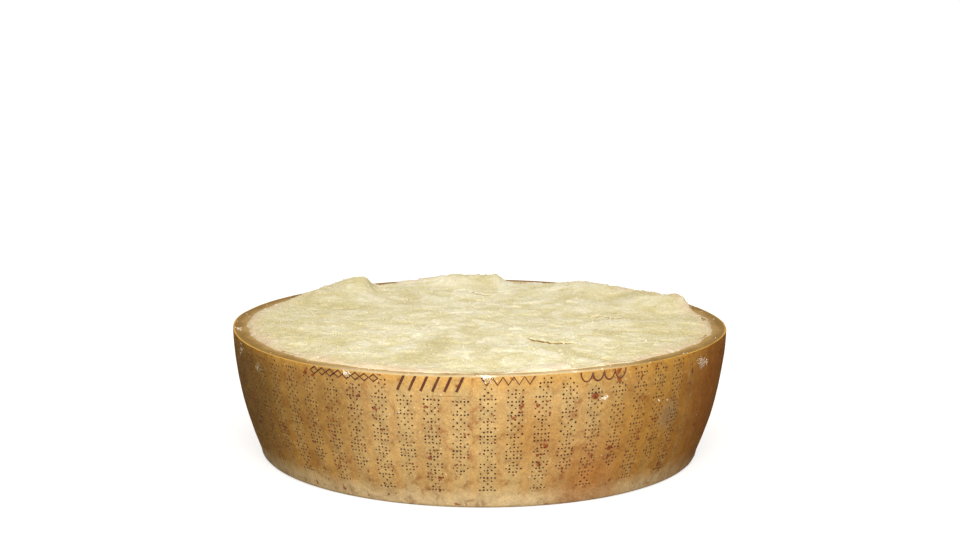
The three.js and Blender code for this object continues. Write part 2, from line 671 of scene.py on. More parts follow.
@dataclass(frozen=True)
class ScoredRing:
    """Knife-scored rind and hard paste: dense, smooth and a little greasy.

    The knife leaves faint lines that run round it. The outermost millimetre is painted lighter
    and more golden, a painted highlight along the cut edge.
    """

    cut_radius: float
    tan: str = "#a17c40"
    deep: str = "#8f6d33"
    front: str = "#e6ca98"
    peach: str = "#b99458"
    edge_highlight: str = "#e0ae50"
    line_pitch: float = 0.7 * MM
    cloud_size: float = 22 * MM
    grain_size: float = 2.5 * MM
    roughness: float = 0.42

    def build(self) -> bpy.types.Material:
        """Build the material.

        Returns:
            The finished material.
        """
        material, tree = new_material("knife-scored ring")
        place = add(tree, "ShaderNodeTexCoord").outputs["Object"]
        flat = add(
            tree,
            "ShaderNodeVectorMath",
            {"Vector": place, "Vector_001": (1.0, 1.0, 0.0)},
            operation="MULTIPLY",
        )
        radius = add(tree, "ShaderNodeVectorMath", {"Vector": flat}, operation="LENGTH").outputs["Value"]
        lines = add(
            tree,
            "ShaderNodeTexNoise",
            {"W": radius, "Scale": 1 / self.line_pitch, "Detail": 1.0},
            noise_dimensions="1D",
        )
        clouds = add(
            tree, "ShaderNodeTexNoise", {"Vector": place, "Scale": 1 / self.cloud_size, "Detail": 3.0}
        )
        share = add(
            tree, "ShaderNodeMapRange", {"Value": clouds, "From Min": 0.3, "From Max": 0.7, "To Max": 0.7}
        )
        colour = add(
            tree,
            "ShaderNodeMix",
            {"Factor": share, "A": linear(self.tan), "B": linear(self.deep)},
            data_type="RGBA",
        )
        # Painted light: the ring is mixed to a lighter colour towards the front and stays darker at the
        # sides, as the light falls.
        ahead = add(tree, "ShaderNodeSeparateXYZ", {"Vector": place}).outputs["Y"]
        ahead = add(
            tree,
            "ShaderNodeMapRange",
            {"Value": ahead, "From Min": -0.72 * self.cut_radius, "From Max": -0.93 * self.cut_radius},
            interpolation_type="SMOOTHSTEP",
        )
        colour = add(
            tree, "ShaderNodeMix", {"Factor": ahead, "A": colour, "B": linear(self.front)}, data_type="RGBA"
        )
        ragged = add(
            tree,
            "ShaderNodeMath",
            {"Value": clouds, "Value_001": 12 * MM, "Value_002": radius},
            operation="MULTIPLY_ADD",
        )
        inner = add(
            tree,
            "ShaderNodeMapRange",
            {"Value": ragged, "From Min": self.cut_radius + 2 * MM, "From Max": self.cut_radius - 6 * MM},
            interpolation_type="SMOOTHSTEP",
        )
        colour = add(
            tree, "ShaderNodeMix", {"Factor": inner, "A": colour, "B": linear(self.peach)}, data_type="RGBA"
        )
        # Painted highlight: a thin lighter, more golden band along the outer edge.
        edge = add(
            tree,
            "ShaderNodeMapRange",
            {
                "Value": radius,
                "From Min": self.cut_radius - 1.8 * MM,
                "From Max": self.cut_radius - 0.5 * MM,
            },
        )
        colour = add(
            tree, "ShaderNodeMix", {"Factor": edge, "A": colour, "B": linear(self.edge_highlight)}, data_type="RGBA"
        )
        grain = add(
            tree, "ShaderNodeTexNoise", {"Vector": place, "Scale": 1 / self.grain_size, "Detail": 3.0}
        )
        mottled = add(
            tree,
            "ShaderNodeMapRange",
            {"Value": grain, "From Min": 0.3, "From Max": 0.7, "To Min": 0.86, "To Max": 1.14},
        )
        colour = add(
            tree,
            "ShaderNodeMix",
            {"Factor": 1.0, "A": colour, "B": mottled},
            data_type="RGBA",
            blend_type="MULTIPLY",
        )
        scored = add(tree, "ShaderNodeBump", {"Height": lines, "Strength": 0.15, "Distance": 0.1 * MM})
        scored = add(
            tree,
            "ShaderNodeBump",
            {"Height": grain, "Normal": scored, "Strength": 0.4, "Distance": 0.3 * MM},
        )
        ring = add(
            tree,
            "ShaderNodeBsdfPrincipled",
            {
                "Base Color": colour,
                "Roughness": self.roughness,
                "Normal": scored,
                "IOR": 1.45,
                "Specular IOR Level": 0.3,
            },
        )
        add(tree, "ShaderNodeOutputMaterial", {"Surface": ring})
        return material


@dataclass(frozen=True)
class BrokenPaste:
    """The grainy paste of long-aged cheese, broken and not cut.

    Crumbs and flake edges are nearly white, and the last two centimetres before the rind dry to
    peach. Low places and the two sides are painted a deeper straw as painted shade.
    """

    cut_radius: float
    straw: str = "#e0d3a2"
    cream: str = "#f3eacb"
    deep_straw_and_shade: str = "#c8b77c"
    peach: str = "#dabb98"
    cloud_size: float = 22 * MM
    patch_size: float = 17 * MM
    streak_size: float = 34 * MM
    fleck_size: float = 2.6 * MM
    grain_size: float = 1.1 * MM
    peach_width: float = 19 * MM
    roughness: float = 0.62

    def build(self) -> bpy.types.Material:
        """Build the material.

        Returns:
            The finished material.
        """
        material, tree = new_material("broken aged paste")
        place = add(tree, "ShaderNodeTexCoord").outputs["Object"]
        relief = add(tree, "ShaderNodeAttribute", attribute_name="relief").outputs["Fac"]
        flat = add(
            tree,
            "ShaderNodeVectorMath",
            {"Vector": place, "Vector_001": (1.0, 1.0, 0.0)},
            operation="MULTIPLY",
        )
        radius = add(tree, "ShaderNodeVectorMath", {"Vector": flat}, operation="LENGTH").outputs["Value"]
        clouds = add(
            tree,
            "ShaderNodeTexNoise",
            {"Vector": place, "Scale": 1 / self.cloud_size, "Detail": 4.0, "Roughness": 0.6},
        )
        flecks = add(
            tree,
            "ShaderNodeTexNoise",
            {"Vector": place, "Scale": 1 / self.fleck_size, "Detail": 4.0, "Roughness": 0.65},
        )
        grains = add(tree, "ShaderNodeTexVoronoi", {"Vector": place, "Scale": 1 / self.grain_size})
        clouded = add(tree, "ShaderNodeMapRange", {"Value": clouds, "From Min": 0.36, "From Max": 0.64})
        colour = add(
            tree,
            "ShaderNodeMix",
            {"Factor": clouded, "A": linear(self.straw), "B": linear(self.cream)},
            data_type="RGBA",
        )
        # The split ran outwards, and left smoother, deeper streaks along its way.
        fan = add(tree, "ShaderNodeAttribute", attribute_name="fan").outputs["Vector"]
        along = add(tree, "ShaderNodeMapping", {"Vector": fan, "Scale": (1.0, 1.0, 0.3)})
        streaks = add(
            tree,
            "ShaderNodeTexNoise",
            {"Vector": along, "Scale": 1 / self.streak_size, "Detail": 3.0, "Distortion": 0.4},
        )
        streaked = add(
            tree,
            "ShaderNodeMapRange",
            {"Value": streaks, "From Min": 0.48, "From Max": 0.7, "To Max": 0.35},
            interpolation_type="SMOOTHSTEP",
        )
        colour = add(
            tree,
            "ShaderNodeMix",
            {"Factor": streaked, "A": colour, "B": linear(self.deep_straw_and_shade)},
            data_type="RGBA",
        )
        # Painted shade: the paste is mixed to the deeper straw towards the left and right sides.
        side_shade = add(tree, "ShaderNodeSeparateXYZ", {"Vector": place}).outputs["X"]
        side_shade = add(tree, "ShaderNodeMath", {"Value": side_shade}, operation="ABSOLUTE")
        side_shade = add(
            tree,
            "ShaderNodeMapRange",
            {
                "Value": side_shade,
                "From Min": 0.2 * self.cut_radius,
                "From Max": 0.85 * self.cut_radius,
                "To Max": 0.4,
            },
            interpolation_type="SMOOTHSTEP",
        )
        colour = add(
            tree,
            "ShaderNodeMix",
            {"Factor": side_shade, "A": colour, "B": linear(self.deep_straw_and_shade)},
            data_type="RGBA",
        )
        # Painted shade: the low places of the relief take the deeper straw.
        sunk = add(
            tree,
            "ShaderNodeMapRange",
            {"Value": relief, "From Min": 0.1 * MM, "From Max": -1.1 * MM, "To Max": 0.6},
        )
        colour = add(
            tree, "ShaderNodeMix", {"Factor": sunk, "A": colour, "B": linear(self.deep_straw_and_shade)}, data_type="RGBA"
        )
        banded = add(tree, "ShaderNodeAttribute", attribute_name="banded").outputs["Fac"]
        frayed = add(
            tree,
            "ShaderNodeMapRange",
            {"Value": flecks, "From Min": 0.3, "From Max": 0.7, "To Min": 0.95, "To Max": 0.5},
        )
        banded = add(tree, "ShaderNodeMath", {"Value": banded, "Value_001": frayed}, operation="MULTIPLY")
        colour = add(
            tree,
            "ShaderNodeMix",
            {"Factor": banded, "A": colour, "B": linear(self.deep_straw_and_shade)},
            data_type="RGBA",
        )
        flecked = add(
            tree, "ShaderNodeMapRange", {"Value": flecks, "From Min": 0.5, "From Max": 0.7, "To Max": 0.4}
        )
        colour = add(
            tree,
            "ShaderNodeMix",
            {"Factor": flecked, "A": colour, "B": linear(self.cream)},
            data_type="RGBA",
        )
        wander = add(
            tree,
            "ShaderNodeMath",
            {"Value": clouds, "Value_001": 22 * MM, "Value_002": radius},
            operation="MULTIPLY_ADD",
        )
        dried_from = self.cut_radius - self.peach_width + 11 * MM
        dried = add(
            tree,
            "ShaderNodeMapRange",
            {
                "Value": wander,
                "From Min": dried_from - 15 * MM,
                "From Max": dried_from + 10 * MM,
                "To Max": 0.85,
            },
            interpolation_type="SMOOTHSTEP",
        )
        patchy = add(
            tree,
            "ShaderNodeTexNoise",
            {"Vector": place, "Scale": 1 / self.patch_size, "Detail": 4.0, "Roughness": 0.7},
        )
        patchy = add(
            tree, "ShaderNodeMapRange", {"Value": patchy, "From Min": 0.4, "From Max": 0.58, "To Min": 0.25}
        )
        dried = add(tree, "ShaderNodeMath", {"Value": dried, "Value_001": patchy}, operation="MULTIPLY")
        colour = add(
            tree, "ShaderNodeMix", {"Factor": dried, "A": colour, "B": linear(self.peach)}, data_type="RGBA"
        )
        coarse = add(tree, "ShaderNodeBump", {"Height": flecks, "Strength": 0.6, "Distance": 0.6 * MM})
        grainy = add(
            tree,
            "ShaderNodeBump",
            {
                "Height": grains.outputs["Distance"],
                "Normal": coarse,
                "Strength": 0.6,
                "Distance": 0.35 * MM,
            },
        )
        paste = add(
            tree,
            "ShaderNodeBsdfPrincipled",
            {
                "Base Color": colour,
                "Roughness": self.roughness,
                "Normal": grainy,
                "IOR": 1.44,
                "Subsurface Weight": 0.12,
                "Subsurface Radius": (1.0, 0.7, 0.35),
                "Subsurface Scale": 2.5 * MM,
            },
        )
        add(tree, "ShaderNodeOutputMaterial", {"Surface": paste})
        return material


@dataclass(frozen=True)
class SplitShadow:
    """Painted shadow for the inside of a split in the paste: a dark bead, deep straw going to brown."""

    brown: str = "#9a7830"
    roughness: float = 0.8

    def build(self) -> bpy.types.Material:
        """Build the material.

        Returns:
            The finished material.
        """
        material, tree = new_material("painted split shadow")
        inside = add(
            tree,
            "ShaderNodeBsdfPrincipled",
            {"Base Color": linear(self.brown), "Roughness": self.roughness, "IOR": 1.4},
        )
        add(tree, "ShaderNodeOutputMaterial", {"Surface": inside})
        return material


@dataclass(frozen=True)
class DryCrumb:
    """Loose crumbs of paste that dried pale and chalky, so they read as white grains."""

    chalk: str = "#f7f0e2"
    cream: str = "#efe0b8"
    patch_size: float = 6 * MM
    roughness: float = 0.75

    def build(self) -> bpy.types.Material:
        """Build the material.

        Returns:
            The finished material.
        """
        material, tree = new_material("dry paste crumb")
        place = add(tree, "ShaderNodeTexCoord").outputs["Object"]
        patches = add(tree, "ShaderNodeTexNoise", {"Vector": place, "Scale": 1 / self.patch_size})
        share = add(tree, "ShaderNodeMapRange", {"Value": patches, "From Min": 0.45, "From Max": 0.6})
        colour = add(
            tree,
            "ShaderNodeMix",
            {"Factor": share, "A": linear(self.chalk), "B": linear(self.cream)},
            data_type="RGBA",
        )
        crumb = add(
            tree,
            "ShaderNodeBsdfPrincipled",
            {"Base Color": colour, "Roughness": self.roughness, "IOR": 1.44},
        )
        add(tree, "ShaderNodeOutputMaterial", {"Surface": crumb})
        return material


# ---- The rind -----------------------------------------------------------------------------


class Motif(Enum):
    """Blocks of pin dots, five pins wide, drawn row by row from the top."""

    DIAMOND = ("..#..", ".###.", "##.##", ".###.", "..#..")
    CHECKER = ("#.#.#", ".#.#.", "#.#.#", ".#.#.")
    WAIST = ("#####", ".#.#.", "..#..", ".#.#.", "#####")
    COMB = ("#####", "#.#.#", "#####")
    WEAVE = ("##.##", "#.#.#", ".###.", "#.#.#")
    SPRIG = ("#.#.#", ".###.", "..#..", "#.#.#", ".###.")


class ColumnKind(Enum):
    """The two kinds of pin column, which alternate round the wheel, read from the foot up."""

    LONG = (Motif.WAIST, Motif.WEAVE, Motif.DIAMOND, Motif.COMB, Motif.SPRIG, Motif.CHECKER)
    SHORT = (Motif.DIAMOND, Motif.COMB, Motif.SPRIG, Motif.CHECKER, Motif.WAIST, Motif.WEAVE)


@dataclass(frozen=True)
class PinBelt:
    """The belt of pins in the mould that presses its dots into the young rind."""

    columns: int = 62
    first_bearing: float = -88.2
    pitch_across: float = 2.94 * MM
    pitch_down: float = 2.85 * MM
    long_foot: float = 17 * MM
    short_foot: float = 31 * MM
    clear_of_cut: float = 2.5 * MM
    missing: float = 0.02
    wander: float = 0.16 * MM
    radius: float = 1.12 * MM
    depth: float = 0.85 * MM
    proud: float = 0.3 * MM
    block_gap: float = 0.3
    bare_from: int = 9
    bare_columns: int = 5
    sides: int = 7
    seed: int = 11

    def rows(self, kind: ColumnKind, room: float) -> list[tuple[float, str]]:
        """Read a column's rows of pins from the foot up.

        Args:
            kind: which column.
            room: the height that the column has.

        Returns:
            Each row's height above the foot and its five characters.
        """
        rows: list[tuple[float, str]] = []
        height = 0.0
        while height < room:
            for motif in kind.value:
                for pattern in reversed(motif.value):
                    rows.append((height, pattern))
                    height += self.pitch_down
                height += self.block_gap * self.pitch_down
        return [row for row in rows if row[0] < room]


class Figure(Enum):
    """Stamped strokes in a box one wide and one high, repeated side by side."""

    LOZENGE = "lozenge"
    ARCADE = "arcade"
    SLANT = "slant"
    ZIGZAG = "zigzag"
    PANEL = "panel"

    def strokes(self, repeats: int) -> list[list[tuple[float, float]]]:
        """Lay the figure side by side.

        Args:
            repeats: how many times it comes.

        Returns:
            Each stroke's points. A closed stroke ends where it starts.
        """
        bow = [math.pi * i / 8 for i in range(9)]
        once = {
            Figure.LOZENGE: [(0.5, 0.0), (0.98, 0.5), (0.5, 1.0), (0.02, 0.5), (0.5, 0.0)],
            Figure.ARCADE: [(0.5 - 0.5 * math.cos(a), 1 - math.sin(a)) for a in bow],
            Figure.SLANT: [(0.2, 0.0), (0.8, 1.0)],
            Figure.ZIGZAG: [(0.0, 1.0), (0.5, 0.0), (1.0, 1.0)],
            Figure.PANEL: [(0.0, 0.12), (0.0, 0.0), (1.0, 0.0), (1.0, 1.5)],
        }[self]
        laid = [[(x + i, y) for x, y in once] for i in range(repeats)]
        if self in (Figure.ARCADE, Figure.ZIGZAG):
            return [[laid[0][0], *[point for stroke in laid for point in stroke[1:]]]]
        return laid


@dataclass(frozen=True)
class Stamp:
    """A run of stamped figures under the cut."""

    figure: Figure
    bearing: float
    repeats: int
    pitch: float
    height: float
    foot: float
    radius: float
    proud: float = 0.0

    def covers(self, bearing: float, depth: float, radius: float) -> bool:
        """Tell whether a pin at this bearing, in degrees, and depth would meet the run."""
        half = math.degrees((self.repeats * self.pitch / 2 + 3 * MM) / radius)
        return abs((bearing - self.bearing + 180) % 360 - 180) < half and depth < self.foot + 2.2 * MM


@dataclass
class Rind:
    """The outer skin from the base to the ring's broken inner edge, with its pressed marks."""

    shape: WheelShape
    around: int = 300
    side_steps: int = 22
    edge_steps: int = 5
    recess: float = 7 * MM
    ring_reach: float = 16 * MM
    dents: float = 0.55 * MM
    dent_size: float = 45 * MM
    bare_under: float = 0.75 * MM
    sharp_from: float = 38.0
    belt: PinBelt = field(default_factory=PinBelt)
    stamps: tuple[Stamp, ...] = (
        Stamp(Figure.LOZENGE, -120.0, 8, 8.2 * MM, 6.0 * MM, 6.9 * MM, 0.9 * MM, 0.25 * MM),
        Stamp(Figure.SLANT, -100.2, 6, 9.6 * MM, 13.0 * MM, 12.2 * MM, 1.25 * MM, 0.35 * MM),
        Stamp(Figure.ZIGZAG, -84.0, 5, 8.6 * MM, 6.6 * MM, 6.9 * MM, 0.9 * MM, 0.25 * MM),
        Stamp(Figure.ARCADE, -63.0, 4, 10.4 * MM, 8.0 * MM, 8.6 * MM, 1.0 * MM, 0.3 * MM),
        Stamp(Figure.PANEL, -95.6, 1, 32 * MM, 15 * MM, 15.8 * MM, 0.6 * MM, 0.42 * MM),
    )

    def profile(self) -> list[tuple[float, float]]:
        """List the rings of points that the skin is turned from.

        Returns:
            Each ring's radius and height, from the base up and in.
        """
        shape = self.shape
        lean = math.atan(shape.turn_in * shape.bulge_power / shape.cut_height)
        beside_foot = float(shape.side_radius(np.array(shape.edge_round)))
        centre = beside_foot - shape.edge_round * math.cos(lean)
        rings = [(centre * 0.45, 0.0), (centre * 0.9, 0.0)]
        for angle in np.linspace(-math.pi / 2, -lean, self.edge_steps):
            out, up = shape.edge_round * math.cos(angle), shape.edge_round * (1 + math.sin(angle))
            rings.append((centre + out, up))
        for z in np.linspace(rings[-1][1], shape.cut_height - 0.7 * MM, self.side_steps + 1)[1:]:
            rings.append((float(shape.side_radius(np.array(z))), float(z)))
        rings.append((shape.cut_radius - 0.2 * MM, shape.cut_height - 0.15 * MM))
        rings.append((shape.cut_radius - 0.8 * MM, shape.cut_height))
        rings.append((shape.cut_radius - 6 * MM, shape.cut_height))
        inner = shape.cut_radius - self.ring_reach
        return [*rings, (inner, shape.cut_height), (inner, shape.cut_height - self.recess)]

    def dent(self, place: Vector) -> float:
        """Give how far the skin stands out at a place, from hand turning and drying.

        Args:
            place: the place on the even skin.

        Returns:
            The distance, in metres; a negative one is a dent.
        """
        wide = noise.noise(place / self.dent_size)
        fine = noise.noise(place / (self.dent_size / 4))
        return self.dents * (wide + 0.3 * fine)

    def skin(self, materials: list[bpy.types.Material]) -> bpy.types.Mesh:
        """Turn the profile into a closed skin, uneven by hand.

        Args:
            materials: the outside's finish and then the ring's.

        Returns:
            The closed mesh, not yet marked.
        """
        shape = self.shape
        bearing = np.arange(self.around) * 2 * math.pi / self.around
        rings = [(np.full(self.around, r), np.full(self.around, z)) for r, z in self.profile()]
        ring_from = len(rings) - 5
        points: list[tuple[float, float, float]] = []
        for radius, z in rings:
            x, y = radius * np.cos(bearing), radius * np.sin(bearing)
            for px, py, pz in zip(x, y, z):
                out = 1 + (self.dent(Vector((px, py, pz))) / shape.cut_radius if pz > MM else 0)
                points.append((px * out, py * out, pz))
        points += [(0, 0, 0), (0, 0, shape.cut_height - self.recess)]
        points = [(x, y, z + float(shape.lift(x, y, z))) for x, y, z in points]
        faces, finish = [], []
        for k in range(len(rings) - 1):
            for i in range(self.around):
                j = (i + 1) % self.around
                low, high = k * self.around, (k + 1) * self.around
                faces.append((low + i, low + j, high + j, high + i))
                finish.append(1 if k >= ring_from else 0)
        last = (len(rings) - 1) * self.around
        for i in range(self.around):
            j = (i + 1) % self.around
            faces += [(len(points) - 2, j, i), (last + i, last + j, len(points) - 1)]
            finish += [0, 1]
        mesh = bpy.data.meshes.new("rind skin")
        mesh.from_pydata(points, [], faces)
        for material in materials:
            mesh.materials.append(material)
        mesh.polygons.foreach_set("material_index", finish)
        return mesh

    def all_stamps(self) -> list[Stamp]:
        """Give the front's stamps and the same run again on the far side."""
        turned = [replace(stamp, bearing=stamp.bearing + 180) for stamp in self.stamps]
        return [*self.stamps, *turned]

    def pins(self) -> bpy.types.Mesh:
        """Lay out the pins round the wheel.

        Returns:
            Loose points, each with an outward direction and a size.
        """
        shape, belt = self.shape, self.belt
        chance = np.random.default_rng(belt.seed)
        stamps = self.all_stamps()
        points, outward, size = [], [], []
        for column in range(belt.columns):
            if 0 <= column - belt.bare_from < belt.bare_columns:
                continue
            middle = belt.first_bearing + column * 360 / belt.columns
            kind = ColumnKind.SHORT if column % 2 else ColumnKind.LONG
            foot = belt.short_foot if column % 2 else belt.long_foot
            foot += chance.normal(0, 0.8) * MM
            room = shape.cut_height - belt.clear_of_cut - foot
            sway = chance.normal(0, 0.35, 2) * MM
            for height, pattern in belt.rows(kind, room):
                z = foot + height
                radius = float(shape.side_radius(np.array(z)))
                drift = sway[0] + sway[1] * math.sin(z / (18 * MM))
                for k, mark in enumerate(pattern):
                    slip = chance.normal(0, belt.wander, 2)
                    across = (k - 2) * belt.pitch_across + drift + slip[0]
                    bearing = middle + math.degrees(across / radius)
                    depth = shape.cut_height - z - slip[1]
                    spared = chance.random() < belt.missing
                    scale = chance.normal(1, 0.1)
                    covered = any(s.covers(bearing, depth, radius) for s in stamps)
                    if mark == "." or spared or covered:
                        continue
                    angle = math.radians(bearing)
                    points.append(shape.place_on_side(np.array(angle), np.array(depth)))
                    outward.append((math.cos(angle), math.sin(angle), 0.0))
                    size.append(float(np.clip(scale, 0.75, 1.2)))
        mesh = bpy.data.meshes.new("pin places")
        mesh.from_pydata([tuple(p) for p in points], [], [])
        mesh.attributes.new("outward", "FLOAT_VECTOR", "POINT").data.foreach_set(
            "vector", np.array(outward).ravel()
        )
        mesh.attributes.new("size", "FLOAT", "POINT").data.foreach_set("value", size)
        return mesh

    def strokes(self) -> bpy.types.Mesh:
        """Lay out the stamped strokes.

        Returns:
            Chains of edges, with a groove radius at each point.
        """
        shape = self.shape
        points, edges, radii = [], [], []
        for stamp in self.all_stamps():
            start = math.radians(stamp.bearing) - stamp.repeats * stamp.pitch / 2 / shape.cut_radius
            for chain in stamp.figure.strokes(stamp.repeats):
                closed = chain[0] == chain[-1]
                chain = chain[:-1] if closed else chain
                first = len(points)
                for across, up in chain:
                    bearing = start + across * stamp.pitch / shape.cut_radius
                    depth = stamp.foot - up * stamp.height
                    place = shape.place_on_side(np.array(bearing), np.array(depth))
                    out = np.array([math.cos(bearing), math.sin(bearing), 0.0])
                    points.append(tuple(place + out * stamp.proud))
                    radii.append(stamp.radius)
                edges += [(i, i + 1) for i in range(first, len(points) - 1)]
                if closed:
                    edges.append((len(points) - 1, first))
        mesh = bpy.data.meshes.new("stamp strokes")
        mesh.from_pydata(points, edges, [])
        mesh.attributes.new("stroke", "FLOAT", "POINT").data.foreach_set("value", radii)
        return mesh

    def marking_tree(
        self, hole: bpy.types.Material, stamped: bpy.types.Material, bare: bpy.types.Material
    ) -> bpy.types.NodeTree:
        """Build the tree that presses the pins and strokes into the skin.

        Args:
            hole: the finish of the pin holes.
            stamped: the finish of the stamped strokes.
            bare: the finish of the shallow panel outline, which took no colour.

        Returns:
            The tree.
        """
        tree, given = new_tree(
            "pressed marks",
            {
                "Pins": "NodeSocketObject",
                "Strokes": "NodeSocketObject",
                "Pin Radius": "NodeSocketFloat",
                "Pin Depth": "NodeSocketFloat",
                "Pin Proud": "NodeSocketFloat",
                "Pin Sides": "NodeSocketInt",
                "Bare Under": "NodeSocketFloat",
            },
        )
        skin = given.outputs["Geometry"]
        pins = add(tree, "GeometryNodeObjectInfo", {"Object": given.outputs["Pins"]}).outputs["Geometry"]
        outward = add(
            tree, "GeometryNodeInputNamedAttribute", {"Name": "outward"}, data_type="FLOAT_VECTOR"
        ).outputs["Attribute"]
        size = add(
            tree, "GeometryNodeInputNamedAttribute", {"Name": "size"}, data_type="FLOAT"
        ).outputs["Attribute"]
        here = add(tree, "GeometryNodeInputPosition")
        back_off = add(
            tree, "ShaderNodeVectorMath", {"Vector": outward, "Scale": -12 * MM}, operation="SCALE"
        )
        inside = add(
            tree, "ShaderNodeVectorMath", {"Vector": here, "Vector_001": back_off}, operation="ADD"
        )
        hit = add(
            tree,
            "GeometryNodeRaycast",
            {
                "Target Geometry": skin,
                "Source Position": inside,
                "Ray Direction": outward,
                "Ray Length": 30 * MM,
            },
        )
        facing = add(
            tree, "FunctionNodeAlignRotationToVector", {"Vector": hit.outputs["Hit Normal"]}, axis="Z"
        )
        facing = add(
            tree,
            "GeometryNodeStoreNamedAttribute",
            {"Geometry": pins, "Name": "facing", "Value": facing},
            data_type="QUATERNION",
        )
        seated = add(
            tree, "GeometryNodeSetPosition", {"Geometry": facing, "Position": hit.outputs["Hit Position"]}
        )
        facing = add(
            tree, "GeometryNodeInputNamedAttribute", {"Name": "facing"}, data_type="QUATERNION"
        ).outputs["Attribute"]
        length = add(
            tree,
            "ShaderNodeMath",
            {"Value": given.outputs["Pin Depth"], "Value_001": given.outputs["Pin Proud"]},
            operation="ADD",
        )
        cone = add(
            tree,
            "GeometryNodeMeshCone",
            {
                "Vertices": given.outputs["Pin Sides"],
                "Radius Top": given.outputs["Pin Radius"],
                "Radius Bottom": 0.0,
                "Depth": length,
            },
        ).outputs["Mesh"]
        sink = add(
            tree,
            "ShaderNodeMath",
            {"Value": given.outputs["Pin Depth"], "Value_001": -1.0},
            operation="MULTIPLY",
        )
        down = add(tree, "ShaderNodeCombineXYZ", {"Z": sink})
        cone = add(tree, "GeometryNodeTransform", {"Geometry": cone, "Translation": down})
        pressed = add(
            tree,
            "GeometryNodeInstanceOnPoints",
            {"Points": seated, "Instance": cone, "Rotation": facing, "Scale": size},
        )
        strokes = add(
            tree, "GeometryNodeObjectInfo", {"Object": given.outputs["Strokes"]}
        ).outputs["Geometry"]
        stroke = add(
            tree, "GeometryNodeInputNamedAttribute", {"Name": "stroke"}, data_type="FLOAT"
        ).outputs["Attribute"]
        lines = add(tree, "GeometryNodeMeshToCurve", {"Mesh": strokes})
        lines = add(tree, "GeometryNodeSetCurveRadius", {"Curve": lines, "Radius": stroke})
        gouge = add(tree, "GeometryNodeCurvePrimitiveCircle", {"Resolution": 6, "Radius": 1.0})
        grooves = add(
            tree,
            "GeometryNodeCurveToMesh",
            {"Curve": lines, "Profile Curve": gouge, "Fill Caps": True, "Scale": stroke},
        )
        thin = add(
            tree,
            "FunctionNodeCompare",
            {"A": stroke, "B": given.outputs["Bare Under"]},
            operation="LESS_THAN",
            data_type="FLOAT",
        )
        pressed = add(tree, "GeometryNodeSetMaterial", {"Geometry": pressed, "Material": hole})
        grooves = add(tree, "GeometryNodeSetMaterial", {"Geometry": grooves, "Material": stamped})
        grooves = add(
            tree, "GeometryNodeSetMaterial", {"Geometry": grooves, "Selection": thin, "Material": bare}
        )
        marks = add(tree, "GeometryNodeJoinGeometry", {"Geometry": pressed})
        tree.links.new(grooves.outputs["Geometry"], marks.inputs["Geometry"])
        marks = add(tree, "GeometryNodeRealizeInstances", {"Geometry": marks})
        marked = add(
            tree,
            "GeometryNodeMeshBoolean",
            {"Mesh 1": skin, "Mesh 2": marks},
            operation="DIFFERENCE",
            solver="MANIFOLD",
        )
        add(tree, "NodeGroupOutput", {"Geometry": marked.outputs["Mesh"]})
        return tree

    def build(self) -> bpy.types.Object:
        """Make the marked rind and put it in the frame.

        Returns:
            The rind as one piece.
        """
        shape, belt = self.shape, self.belt
        outside = DriedRind(shape.cut_radius, shape.cut_height, belt.columns, belt.first_bearing).build()
        ring = ScoredRing(self.shape.cut_radius).build()
        hole = PinHole().build()
        stamped = PinHole("browned stamp", dark="#6a3c26", rusty="#8a5636").build()
        host = new_object("rind skin", self.skin([outside, ring]))
        pins = new_object("pin places", self.pins())
        strokes = new_object("stamp strokes", self.strokes())
        values = {
            "Pins": pins,
            "Strokes": strokes,
            "Pin Radius": self.belt.radius,
            "Pin Depth": self.belt.depth,
            "Pin Proud": self.belt.proud,
            "Pin Sides": self.belt.sides,
            "Bare Under": self.bare_under,
        }
        mesh = grow(host, self.marking_tree(hole, stamped, outside), values)
        for guide in (pins, strokes):
            bpy.data.objects.remove(guide)
        mesh.shade_smooth()
        mesh.set_sharp_from_angle(angle=math.radians(self.sharp_from))
        mesh.name = "rind"
        rind = new_object("rind", mesh)
        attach(rind, BODY)
        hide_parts(CAD_NODE)
        return rind


# ---- The broken paste ---------------------------------------------------------------------


@dataclass(frozen=True)
class Hump:
    """A high or low place that the wedges left, with places as shares of the cut's radius."""

    x: float
    y: float
    height: float
    left: float
    right: float
    deep: float

    def rise(self, x: np.ndarray, y: np.ndarray) -> np.ndarray:
        """Give the hump's height at each place.

        Args:
            x: places across, as shares of the cut's radius.
            y: places back, as shares of the cut's radius.

        Returns:
            The height at each place, in metres.
        """
        across = (x - self.x) / np.where(x < self.x, self.left, self.right)
        back = (y - self.y) / self.deep
        return self.height * np.exp(-0.5 * (across**2 + back**2))


